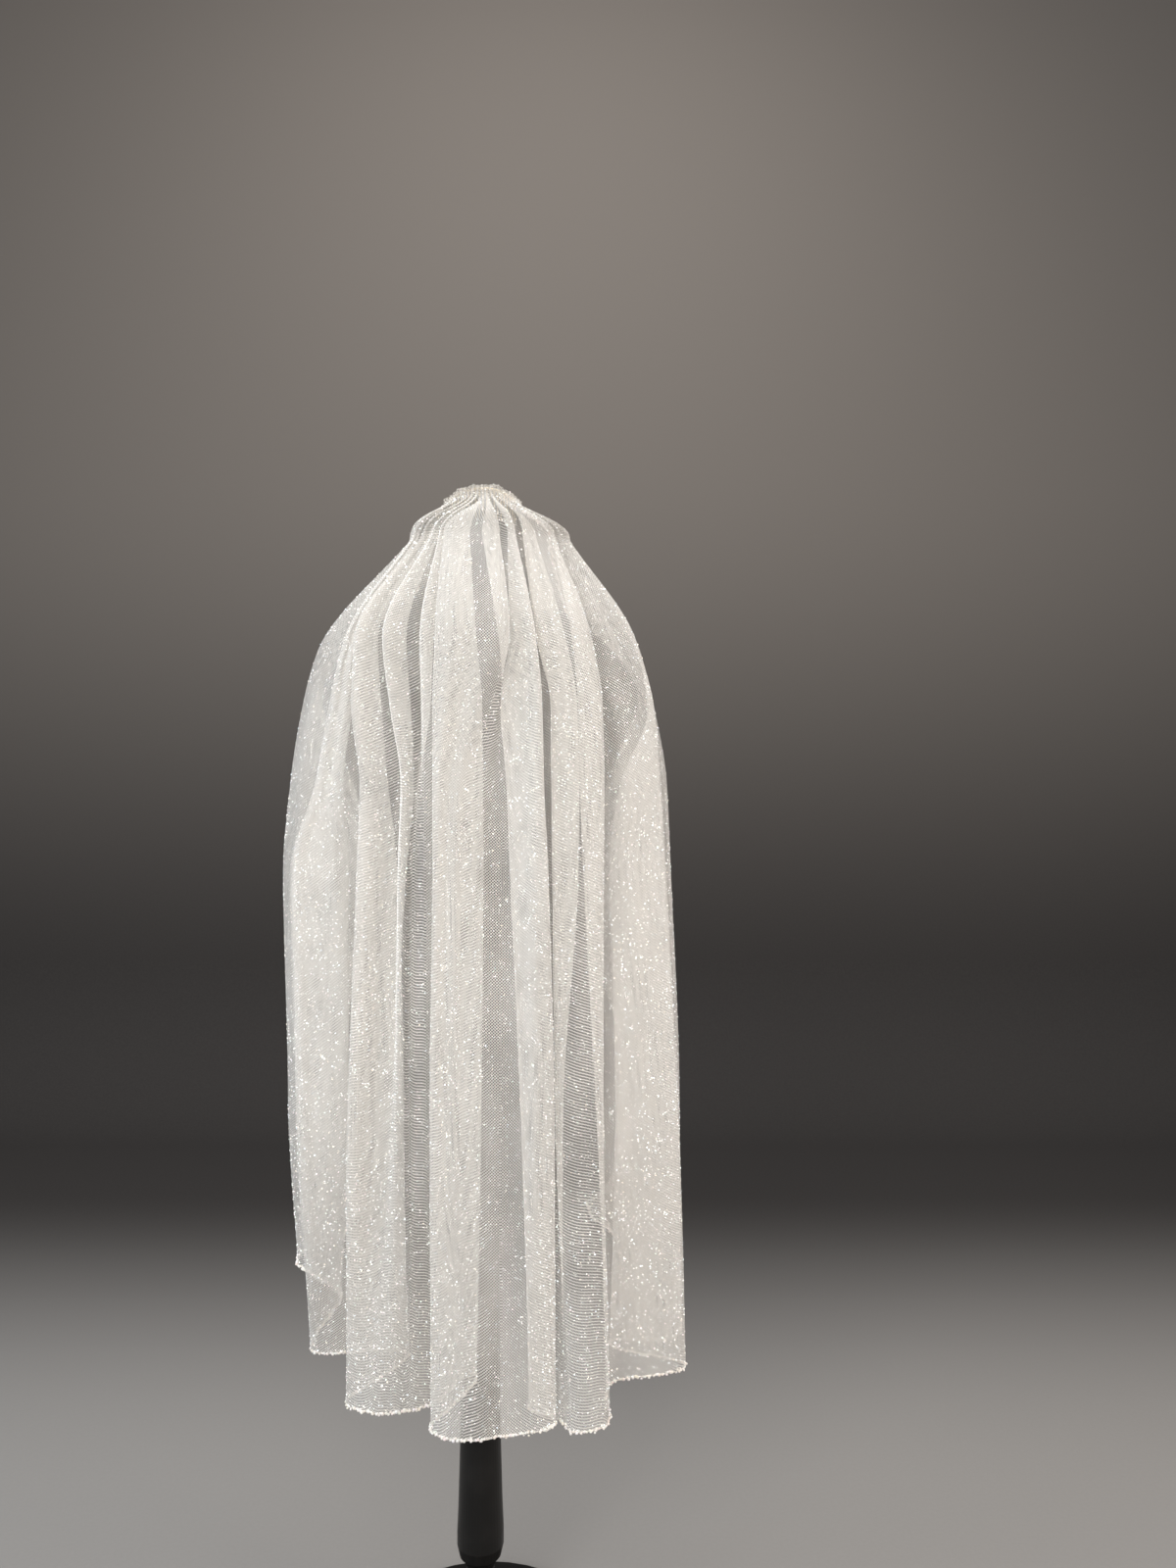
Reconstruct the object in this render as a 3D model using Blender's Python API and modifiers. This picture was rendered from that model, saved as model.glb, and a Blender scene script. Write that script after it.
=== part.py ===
"""A gathered tulle bridal veil on its hair comb, laid over a limbless dress form on a turned pole stand.

Metres, +Z up. The origin is under the middle of the stand, on the surface that it stands on.
The veil's back faces -Y. Run it with blender --background --python part.py, or from Blender's text editor.
"""

import math
from typing import NamedTuple

import bmesh
import bpy
import numpy as np

MM = 0.001
SEAT = 0.3 * MM  # the gap that touching pieces keep

# Heights of the named levels of the veil
HEADER_TOP = 1.462
COMB_FOOT = 1.459  # the cloth leaves the comb's arc here, in its middle
NAPE = 1.40
SHOULDER = 1.27
BLADE = 1.19
BUST = 1.10
RIB = 1.00
HIP = 0.72

# The veil's cloth
VEIL_WALL = 1.1 * MM
GATHERED_HALF_ANGLE = math.radians(53)  # the gathers' reach round the neck, either way
GATHER_DEPTH = 3.0 * MM  # half of a gather, from its middle to its crest
GATHER_FADES_AT = 1.435
HEADER_FALL = 15 * MM  # how much lower the gathers' top edge is at its ends than in its middle
FOLDS_OPEN_BY = 0.7  # the share of the drop from comb to nape at which a fold has its full depth
FOLDS_LEAN_FROM = 0.12  # and from which it leans over to its side
COLUMNS_PER_GATHER = 6
GATHER_SLACK = 0.3 * MM  # the inner crests, cut by flat facets, stand this much off their curve
HEM_COLUMN = 16 * MM  # the widest column at the hem
LEAST_COLUMNS = 3  # from one fold line to the next
NAPE_ROWS = 7
HANGING_ROWS = 13
ROWS_SPREAD_FROM = 1.39
ROW_CROWDING = 1.35  # above 1, the rows crowd towards the nape

# The comb
NECK_RADIUS = 52 * MM
COMB_SPINE_RADIUS = 1.5 * MM
COMB_SPINE_Z = 1.458
COMB_ARCH = 14 * MM  # how much lower the comb is at its ends than in its middle
COMB_HALF_ANGLE = math.radians(48)
COMB_TURN = math.radians(11)  # the comb's middle stands this far round the neck, to the right
COMB_TEETH = 20
TOOTH_LENGTH = 36 * MM
TOOTH_ROOT_RADIUS = 1.0 * MM
TOOTH_TIP_RADIUS = 0.6 * MM
SPINE_CENTRE = NECK_RADIUS + SEAT + COMB_SPINE_RADIUS  # its radius about the neck's axis
# The gathers' middle, about the same axis, so that their inner crests lie on the spine
GATHER_RADIUS = SPINE_CENTRE + COMB_SPINE_RADIUS + SEAT + VEIL_WALL / 2 + GATHER_DEPTH - GATHER_SLACK

# The stand
FORM_BOTTOM = 0.585
POLE_FOOT = 0.070
BASE_RADIUS = 170 * MM
TURNED_STEPS = 40


class FoldLine(NamedTuple):
    """One edge or crest of the veil's folds, from comb to hem. Lengths are in millimetres."""

    name: str
    nape_x: float
    nape_y: float
    shoulder_x: float
    blade_x: float
    bust_x: float
    rib_x: float
    hip_x: float
    hem_x: float
    top_off: float  # how far it stands behind the back plane at the shoulder
    low_off: float  # the same at the hip
    hem_y: float
    hem_z: float


# The fold lines in the order that the cloth runs, from its left front edge, round the back, to its right front edge.
FOLD_LINES = (
    FoldLine("left_edge", -68, 8, -112, -125, -128, -130, -122, -112, -205, -205, 135, 660),
    FoldLine("left_wave_1", -73, 5, -128, -140, -145, -150, -147, -145, -215, -215, 155, 560),
    FoldLine("left_wave_2", -76, -1, -145, -157, -160, -163, -158, -152, -190, -190, 120, 530),
    FoldLine("left_wave_3", -80, -5, -166, -178, -184, -190, -187, -185, -200, -200, 140, 505),
    FoldLine("left_wave_4", -82, -12, -172, -193, -200, -205, -200, -196, -165, -165, 95, 495),
    FoldLine("left_wave_5", -84, -18, -191, -214, -224, -230, -226, -232, -140, -150, 80, 488),
    FoldLine("left_side", -84, -27, -197, -219, -233, -241, -234, -241, -85, -95, 45, 480),
    FoldLine("fold_1_inner", -72, -36, -137, -145, -155, -148, -148, -173, -25, -30, -5, 459),
    FoldLine("fold_1_outer", -78, -47, -150, -168, -184, -212, -205, -200, -6, -12, -55, 416),
    FoldLine("fold_2_inner", -56, -46, -111, -106, -98, -87, -78, -83, -2, -4, -55, 410),
    FoldLine("fold_2_outer", -65, -58, -134, -137, -127, -130, -139, -148, 18, 18, -97, 375),
    FoldLine("fold_3_inner", -47, -57, -77, -71, -67, -75, -90, -115, 4, 12, -126, 377),
    FoldLine("fold_3_outer", -52, -67, -101, -92, -79, -82, -84, -92, 20, 22, -128, 377),
    FoldLine("fold_4_inner", -36, -64, -45, -48, -60, -66, -68, -69, 6, 16, -119, 376),
    FoldLine("fold_4_outer", -42, -75, -58, -56, -54, -52, -50, -48, 22, 14, -101, 375),
    FoldLine("fold_5_inner", -7, -66, 5, 12, 13, 14, 12, -1, 4, 4, -60, 389),
    FoldLine("fold_5_outer", -36, -82, -39, -41, -41, -41, -43, -43, 38, 36, -145, 366),
    FoldLine("fold_6_outer", 30, -88, 46, 26, -2, -8, -8, -5, 40, 44, -165, 366),
    FoldLine("fold_6_inner", 8, -73, 32, 42, 43, 38, 37, 38, 22, 42, -158, 368),
    FoldLine("fold_7_outer", 48, -84, 75, 83, 85, 90, 97, 98, 38, 36, -138, 372),
    FoldLine("fold_7_inner", 39, -63, 44, 34, 41, 45, 58, 69, 6, 6, -105, 374),
    FoldLine("fold_8_inner", 72, -43, 109, 123, 125, 124, 106, 104, 0, 2, -130, 370),
    FoldLine("fold_8_outer", 57, -74, 75, 92, 93, 94, 98, 117, 18, 20, -145, 366),
    FoldLine("fold_9_outer", 93, -49, 139, 152, 154, 153, 152, 154, 10, 14, -138, 368),
    FoldLine("fold_9_inner", 92, -41, 117, 124, 126, 130, 145, 165, -16, -10, -58, 377),
    FoldLine("fold_10_outer", 106, -34, 190, 214, 222, 228, 242, 255, -45, -40, -43, 390),
    FoldLine("fold_10_inner", 112, -26, 194, 208, 174, 161, 168, 162, -62, -60, -15, 404),
    FoldLine("right_side", 111, -15, 197, 218, 231, 235, 246, 247, -100, -100, 20, 396),
    FoldLine("right_wave_5", 110, -8, 193, 215, 227, 233, 240, 250, -150, -150, 70, 410),
    FoldLine("right_wave_4", 105, -3, 179, 200, 210, 215, 215, 207, -170, -170, 100, 435),
    FoldLine("right_wave_3", 97, 4, 175, 187, 193, 196, 195, 185, -200, -200, 138, 470),
    FoldLine("right_wave_2", 93, 7, 155, 166, 170, 172, 166, 150, -187, -187, 118, 505),
    FoldLine("right_wave_1", 90, 13, 138, 148, 150, 152, 146, 122, -215, -215, 155, 535),
    FoldLine("right_edge", 86, 15, 120, 132, 132, 130, 120, 100, -202, -202, 130, 600),
)

# The back plane that the fold lines stand behind: height and y
BACK_PLANE = ((SHOULDER, -0.105), (BLADE, -0.112), (RIB, -0.113), (HIP, -0.120))

# The radius that a fold turns on: height and radius
FOLD_RADIUS = ((0.37, 0.010), (HIP, 0.007), (SHOULDER, 0.005), (NAPE, 0.0025), (COMB_FOOT, 0.0008), (HEADER_TOP, 0.0008))


class FormSection(NamedTuple):
    """One level section of the dress form, from the bottom up, in metres."""

    z: float
    half_width: float
    back: float
    front: float


FORM_SECTIONS = (
    FormSection(FORM_BOTTOM, 0.120, 0.072, 0.076),
    FormSection(0.592, 0.150, 0.094, 0.094),
    FormSection(0.612, 0.165, 0.104, 0.102),
    FormSection(0.660, 0.174, 0.110, 0.107),
    FormSection(0.720, 0.178, 0.109, 0.107),
    FormSection(0.800, 0.170, 0.098, 0.100),
    FormSection(0.880, 0.147, 0.083, 0.091),
    FormSection(0.940, 0.130, 0.075, 0.086),
    FormSection(1.000, 0.133, 0.077, 0.091),
    FormSection(1.060, 0.147, 0.083, 0.106),
    FormSection(1.110, 0.162, 0.088, 0.114),
    FormSection(1.160, 0.183, 0.090, 0.104),
    FormSection(1.195, 0.198, 0.089, 0.092),
    FormSection(1.222, 0.197, 0.086, 0.081),
    FormSection(1.250, 0.181, 0.082, 0.072),
    FormSection(1.280, 0.154, 0.076, 0.064),
    FormSection(1.303, 0.124, 0.070, 0.059),
    FormSection(1.322, 0.097, 0.065, 0.056),
    FormSection(1.345, 0.073, 0.059, 0.054),
    FormSection(1.370, 0.057, 0.054, 0.053),
    FormSection(1.398, NECK_RADIUS, NECK_RADIUS, NECK_RADIUS),
    FormSection(1.438, NECK_RADIUS, NECK_RADIUS, NECK_RADIUS),
    FormSection(1.4465, 0.0485, 0.0485, 0.0485),
    FormSection(1.4515, 0.041, 0.041, 0.041),
    FormSection(1.4535, 0.020, 0.020, 0.020),
)
FORM_SIDES = 48

# The pole's outline from its top to its foot, as radius and height
POLE_PROFILE = (
    (0.034, FORM_BOTTOM - SEAT),
    (0.036, 0.580),
    (0.034, 0.572),
    (0.027, 0.562),
    (0.024, 0.545),
    (0.0235, 0.420),
    (0.0255, 0.280),
    (0.0275, 0.205),
    (0.0292, 0.165),
    (0.0292, 0.148),
    (0.026, 0.134),
    (0.020, 0.127),
    (0.0175, 0.120),
    (0.0175, 0.100),
    (0.024, 0.090),
    (0.026, 0.080),
    (0.024, POLE_FOOT),
)

# The base's outline from the middle of its top to the middle of its underside
BASE_PROFILE = (
    (0.032, POLE_FOOT - SEAT),
    (0.036, 0.066),
    (0.038, 0.056),
    (0.044, 0.044),
    (0.060, 0.034),
    (0.090, 0.028),
    (0.130, 0.024),
    (0.158, 0.019),
    (BASE_RADIUS - 0.002, 0.012),
    (BASE_RADIUS, 0.007),
    (BASE_RADIUS - 0.002, 0.002),
    (BASE_RADIUS - 0.006, 0.0),
)


class Finish(NamedTuple):
    """What a part's Principled material needs."""

    color: tuple
    roughness: float
    metallic: float


TULLE = Finish((0.83, 0.79, 0.72), 0.55, 0.0)
COMB_METAL = Finish((0.72, 0.66, 0.54), 0.30, 1.0)
FORM_JERSEY = Finish((0.025, 0.024, 0.026), 0.85, 0.0)
BLACK_PAINT = Finish((0.012, 0.011, 0.011), 0.35, 0.0)


def clear_scene():
    """Empties the open file of its objects."""
    for obj in list(bpy.data.objects):
        bpy.data.objects.remove(obj, do_unlink=True)


def new_collection(name):
    """A collection under the scene's own."""
    made = bpy.data.collections.new(name)
    bpy.context.scene.collection.children.link(made)
    return made


def material(name, finish):
    """A Principled material."""
    made = bpy.data.materials.new(name)
    made.use_nodes = True
    node = made.node_tree.nodes["Principled BSDF"]
    node.inputs["Base Color"].default_value = (*finish.color, 1.0)
    node.inputs["Roughness"].default_value = finish.roughness
    node.inputs["Metallic"].default_value = finish.metallic
    made.diffuse_color = (*finish.color, 1.0)
    return made


def object_from(name, mesh, collection, finish):
    """An object of this mesh with its own material."""
    made = bpy.data.objects.new(name, mesh)
    mesh.materials.append(material(name + "_finish", finish))
    collection.objects.link(made)
    return made


def smooth_curve(knots, values, at):
    """A monotone cubic through values at rising knots, read at the places in at."""
    knots = np.asarray(knots, float)
    values = np.asarray(values, float)
    step = np.diff(knots)
    slope = np.diff(values) / step
    tangent = np.zeros_like(values)
    tangent[0] = slope[0]
    tangent[-1] = slope[-1]
    for i in range(1, len(values) - 1):
        if slope[i - 1] * slope[i] > 0:
            tangent[i] = 2 * slope[i - 1] * slope[i] / (slope[i - 1] + slope[i])
    at = np.clip(at, knots[0], knots[-1])
    i = np.clip(np.searchsorted(knots, at) - 1, 0, len(step) - 1)
    t = (at - knots[i]) / step[i]
    return (
        (1 + 2 * t) * (1 - t) ** 2 * values[i]
        + t * (1 - t) ** 2 * step[i] * tangent[i]
        + t * t * (3 - 2 * t) * values[i + 1]
        - t * t * (1 - t) * step[i] * tangent[i + 1]
    )


def read_table(pairs, at):
    """A value from (height, value) pairs, straight between them."""
    heights, values = zip(*sorted(pairs))
    return np.interp(at, heights, values)


def ease(share):
    """A smooth step from 0 to 1."""
    share = min(max(share, 0.0), 1.0)
    return share * share * (3 - 2 * share)


def arch(angle):
    """The share of the comb's arch at this angle, 0 in the middle and 1 at its ends."""
    return (angle / GATHERED_HALF_ANGLE) ** 2


def comb_place(angle):
    """Where the comb's spine is in plan at this angle from its middle."""
    turned = angle + COMB_TURN
    return (SPINE_CENTRE * math.sin(turned), -SPINE_CENTRE * math.cos(turned))


def opening_fold_at(line, angle, z):
    """Where a fold line is in plan above the nape: it opens outwards first, and then leans over to its side."""
    foot = COMB_FOOT - COMB_ARCH * arch(angle)
    nape_radius = math.hypot(line.nape_x, line.nape_y) * MM
    nape_angle = math.atan2(line.nape_x, -line.nape_y)
    drop = (foot - z) / (foot - NAPE)
    radius = GATHER_RADIUS + (nape_radius - GATHER_RADIUS) * ease(drop / FOLDS_OPEN_BY)
    turned = angle + COMB_TURN
    turned += (nape_angle - turned) * ease((drop - FOLDS_LEAN_FROM) / (1 - FOLDS_LEAN_FROM))
    return np.array([radius * math.sin(turned), -radius * math.cos(turned)])


def fold_line_at(line, angle, z):
    """Where a fold line that leaves the comb at this angle is in plan at height z."""
    if z > NAPE:
        return opening_fold_at(line, angle, z)
    hem = (line.hem_x * MM, line.hem_y * MM, line.hem_z * MM)
    plane = {height: read_table(BACK_PLANE, height) for height in (SHOULDER, RIB, HIP)}
    middle_off = (line.top_off + line.low_off) / 2
    x = smooth_curve(
        (hem[2], HIP, RIB, BUST, BLADE, SHOULDER, NAPE),
        (
            hem[0],
            line.hip_x * MM,
            line.rib_x * MM,
            line.bust_x * MM,
            line.blade_x * MM,
            line.shoulder_x * MM,
            line.nape_x * MM,
        ),
        z,
    )
    y = smooth_curve(
        (hem[2], HIP, RIB, SHOULDER, NAPE),
        (
            hem[1],
            plane[HIP] - line.low_off * MM,
            plane[RIB] - middle_off * MM,
            plane[SHOULDER] - line.top_off * MM,
            line.nape_y * MM,
        ),
        z,
    )
    return np.array([float(x), float(y)])


def fold_tangents(points):
    """At each point in plan, the way between its two neighbours' directions, and how sharply the cloth turns, 0 to 1."""
    steps = np.diff(points, axis=0)
    steps /= np.linalg.norm(steps, axis=1)[:, None]
    before = np.vstack([steps[:1], steps])
    after = np.vstack([steps, steps[-1:]])
    total = before + after
    size = np.maximum(np.linalg.norm(total, axis=1), 1e-9)
    turn = (1 - np.einsum("ij,ij->i", before, after)) / 2
    return total / size[:, None], turn


def columns_of_segments():
    """How many columns the cloth has from each fold line to the next."""
    counts = []
    for a, b in zip(FOLD_LINES, FOLD_LINES[1:]):
        hem_length = math.hypot(b.hem_x - a.hem_x, b.hem_y - a.hem_y) * MM
        counts.append(max(LEAST_COLUMNS, math.ceil(hem_length / HEM_COLUMN)))
    return counts


def comb_angles(counts):
    """The angle at which each fold line leaves the comb, with the columns shared evenly along it."""
    share = np.concatenate([[0], np.cumsum(counts)]) / sum(counts)
    return (share * 2 - 1) * GATHERED_HALF_ANGLE


def plan_curve(heights, counts):
    """The cloth's line in plan and its heights, where heights holds each fold line's own height on this row."""
    places = zip(FOLD_LINES, comb_angles(counts), heights)
    points = np.array([fold_line_at(line, angle, z) for line, angle, z in places])
    directions, turns = fold_tangents(points)
    row = []
    for i, count in enumerate(counts):
        start, end = points[i], points[i + 1]
        length = np.linalg.norm(end - start)
        radius = read_table(FOLD_RADIUS, (heights[i] + heights[i + 1]) / 2)
        round_size = min(length, math.sqrt(6 * length * radius))
        size = [length + (round_size - length) * turns[i + k] for k in (0, 1)]
        leave = directions[i] * size[0]
        arrive = directions[i + 1] * size[1]
        for t in np.arange(count + (i == len(counts) - 1)) / count:
            place = (
                (1 + 2 * t) * (1 - t) ** 2 * start
                + t * (1 - t) ** 2 * leave
                + t * t * (3 - 2 * t) * end
                - t * t * (1 - t) * arrive
            )
            z = heights[i] + (heights[i + 1] - heights[i]) * ease(t)
            row.append((place[0], place[1], z))
    return np.array(row)


def with_gathers(row):
    """Moves a row's points along their own normals by the gathers, which fade below the comb."""
    along = np.gradient(row[:, :2], axis=0)
    along /= np.linalg.norm(along, axis=1)[:, None]
    normal = np.column_stack([along[:, 1], -along[:, 0]])
    phase = 2 * math.pi * np.arange(len(row)) / COLUMNS_PER_GATHER
    fade = np.clip((row[:, 2] - GATHER_FADES_AT) / (COMB_FOOT - GATHER_FADES_AT), 0, 1)
    shift = GATHER_DEPTH * fade * np.cos(phase)
    return np.column_stack([row[:, :2] + normal * shift[:, None], row[:, 2]])


def veil_rows():
    """The veil's rows of points, from the comb down to the hem."""
    counts = columns_of_segments()
    arches = [arch(angle) for angle in comb_angles(counts)]
    rows = [with_gathers(plan_curve([HEADER_TOP - HEADER_FALL * share for share in arches], counts))]
    for j in range(NAPE_ROWS):
        feet = [COMB_FOOT - COMB_ARCH * share for share in arches]
        heights = [foot + (ROWS_SPREAD_FROM - foot) * j / NAPE_ROWS for foot in feet]
        rows.append(with_gathers(plan_curve(heights, counts)))
    for j in range(HANGING_ROWS + 1):
        drop = (j / HANGING_ROWS) ** ROW_CROWDING
        heights = [ROWS_SPREAD_FROM + (line.hem_z * MM - ROWS_SPREAD_FROM) * drop for line in FOLD_LINES]
        rows.append(with_gathers(plan_curve(heights, counts)))
    return rows


def mesh_from_rows(name, rows, closed=False):
    """A mesh of quads through rows of points, joined round where closed."""
    bm = bmesh.new()
    made = [[bm.verts.new(p) for p in row] for row in rows]
    for upper, lower in zip(made, made[1:]):
        for i in range(len(upper) - (not closed)):
            k = (i + 1) % len(upper)
            bm.faces.new((upper[i], lower[i], lower[k], upper[k]))
    if closed:
        bm.faces.new(reversed(made[0]))
        bm.faces.new(made[-1])
        bmesh.ops.recalc_face_normals(bm, faces=bm.faces)
    mesh = bpy.data.meshes.new(name)
    bm.to_mesh(mesh)
    bm.free()
    mesh.shade_smooth()
    return mesh


def build_veil(collection):
    """The panel of tulle: a loft through the fold lines, with a thin wall."""
    mesh = mesh_from_rows("veil_panel", veil_rows())
    veil = object_from("veil_panel", mesh, collection, TULLE)
    wall = veil.modifiers.new("wall", "SOLIDIFY")
    wall.thickness = VEIL_WALL
    wall.offset = 0.0
    return veil


def build_form(collection):
    """The dress form: a loft through its level sections, closed at its neck cap and underneath."""
    rows = []
    for section in FORM_SECTIONS:
        ring = []
        for k in range(FORM_SIDES):
            angle = 2 * math.pi * k / FORM_SIDES
            depth = section.front if math.sin(angle) > 0 else section.back
            ring.append((section.half_width * math.cos(angle), depth * math.sin(angle), section.z))
        rows.append(ring)
    form = object_from("dress_form", mesh_from_rows("dress_form", rows, closed=True), collection, FORM_JERSEY)
    form.data.set_sharp_from_angle(angle=math.radians(50))
    return form


def build_turned(name, profile, collection, finish):
    """A solid turned about +Z, from its outline at +X running top to bottom."""
    points = [(0.0, profile[0][1]), *profile, (0.0, profile[-1][1])]
    mesh = bpy.data.meshes.new(name)
    mesh.from_pydata([(r, 0.0, z) for r, z in points], [(i, i + 1) for i in range(len(points) - 1)], [])
    turned = object_from(name, mesh, collection, finish)
    screw = turned.modifiers.new("turn", "SCREW")
    screw.steps = TURNED_STEPS
    screw.render_steps = TURNED_STEPS
    screw.use_merge_vertices = True
    screw.merge_threshold = 0.00005
    screw.use_smooth_shade = True
    return turned


def comb_teeth_mesh():
    """The comb's teeth: tapered rods side by side behind the neck, their roots inside the spine."""
    bm = bmesh.new()
    for k in range(COMB_TEETH):
        share = (k + 0.5) / COMB_TEETH * 2 - 1
        angle = share * COMB_HALF_ANGLE
        made = bmesh.ops.create_cone(
            bm,
            cap_ends=True,
            segments=8,
            radius1=TOOTH_TIP_RADIUS,
            radius2=TOOTH_ROOT_RADIUS,
            depth=TOOTH_LENGTH,
        )
        z = COMB_SPINE_Z - COMB_ARCH * arch(angle) - TOOTH_LENGTH / 2
        bmesh.ops.translate(bm, verts=made["verts"], vec=(*comb_place(angle), z))
    mesh = bpy.data.meshes.new("comb_teeth")
    bm.to_mesh(mesh)
    bm.free()
    return mesh


def build_comb(collection, cutters):
    """The hair comb: a round spine bent to the neck, with its teeth joined on."""
    curve = bpy.data.curves.new("comb_spine", "CURVE")
    curve.dimensions = "3D"
    curve.bevel_depth = COMB_SPINE_RADIUS
    curve.bevel_resolution = 2
    curve.use_fill_caps = True
    spline = curve.splines.new("POLY")
    steps = 32
    spline.points.add(steps)
    for k in range(steps + 1):
        angle = (k / steps * 2 - 1) * COMB_HALF_ANGLE
        z = COMB_SPINE_Z - COMB_ARCH * arch(angle)
        spline.points[k].co = (*comb_place(angle), z, 1.0)
    rod = bpy.data.objects.new("comb_spine", curve)
    collection.objects.link(rod)
    bpy.context.view_layer.update()
    mesh = bpy.data.meshes.new_from_object(rod.evaluated_get(bpy.context.evaluated_depsgraph_get()))
    bpy.data.objects.remove(rod)
    bm = bmesh.new()
    bm.from_mesh(mesh)
    bmesh.ops.remove_doubles(bm, verts=bm.verts, dist=0.00002)
    bm.to_mesh(mesh)
    bm.free()
    mesh.name = "hair_comb"
    mesh.materials.clear()
    comb = object_from("hair_comb", mesh, collection, COMB_METAL)
    teeth = bpy.data.objects.new("comb_teeth", comb_teeth_mesh())
    teeth.hide_render = True
    teeth.display_type = "WIRE"
    cutters.objects.link(teeth)
    join = comb.modifiers.new("teeth", "BOOLEAN")
    join.operation = "UNION"
    join.solver = "EXACT"
    join.object = teeth
    return comb


def main():
    """Builds the veil, its comb, and the form and stand under it."""
    clear_scene()
    parts = new_collection("bridal_veil_on_form")
    cutters = new_collection("cutters")
    build_veil(parts)
    build_comb(parts, cutters)
    build_form(parts)
    build_turned("stand_pole", POLE_PROFILE, parts, BLACK_PAINT)
    build_turned("stand_base", BASE_PROFILE, parts, BLACK_PAINT)


main()
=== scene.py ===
"""The looks of a gathered glitter-tulle bridal veil on its comb, over a limbless dress form on a turned pole.

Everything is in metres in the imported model's frame: +Z up, the veil's back faces -Y.
"""

from __future__ import annotations

import logging
import math
from dataclasses import dataclass, field
from enum import Enum
from typing import NamedTuple

import bmesh
import bpy
import numpy as np
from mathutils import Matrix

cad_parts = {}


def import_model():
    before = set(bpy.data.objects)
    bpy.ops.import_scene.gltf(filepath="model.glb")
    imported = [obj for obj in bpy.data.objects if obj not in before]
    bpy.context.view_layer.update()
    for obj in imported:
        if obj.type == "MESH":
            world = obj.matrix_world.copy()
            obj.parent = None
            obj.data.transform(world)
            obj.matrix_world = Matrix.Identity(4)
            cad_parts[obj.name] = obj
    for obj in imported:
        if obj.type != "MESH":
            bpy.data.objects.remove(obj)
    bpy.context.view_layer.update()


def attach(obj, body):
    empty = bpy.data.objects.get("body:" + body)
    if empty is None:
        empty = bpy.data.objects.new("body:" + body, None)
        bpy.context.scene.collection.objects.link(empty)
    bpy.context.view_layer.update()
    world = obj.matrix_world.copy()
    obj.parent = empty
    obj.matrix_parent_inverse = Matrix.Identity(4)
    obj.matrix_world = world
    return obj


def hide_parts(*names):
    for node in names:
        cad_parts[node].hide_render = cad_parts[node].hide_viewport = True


LOG = logging.getLogger("veil")
MM = 0.001
ROOT = "root"

Color = tuple[float, float, float]
Pairs = tuple[tuple[float, float], ...]
MeshArrays = tuple[np.ndarray, np.ndarray]  # points and faces


# Levels and fold lines, as the solids have them


class Level(float, Enum):
    """Heights of the veil's named levels."""

    HEADER_TOP = 1.462
    COMB_FOOT = 1.459
    NAPE = 1.40
    SPREAD = 1.39
    SHOULDER = 1.27
    BLADE = 1.19
    BUST = 1.10
    RIB = 1.00
    HIP = 0.72


class FoldLine(NamedTuple):
    """One edge or crest of the veil's folds, from comb to hem, in millimetres."""

    name: str
    nape_x: float
    nape_y: float
    shoulder_x: float
    blade_x: float
    bust_x: float
    rib_x: float
    hip_x: float
    hem_x: float
    top_off: float
    low_off: float
    hem_y: float
    hem_z: float


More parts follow.
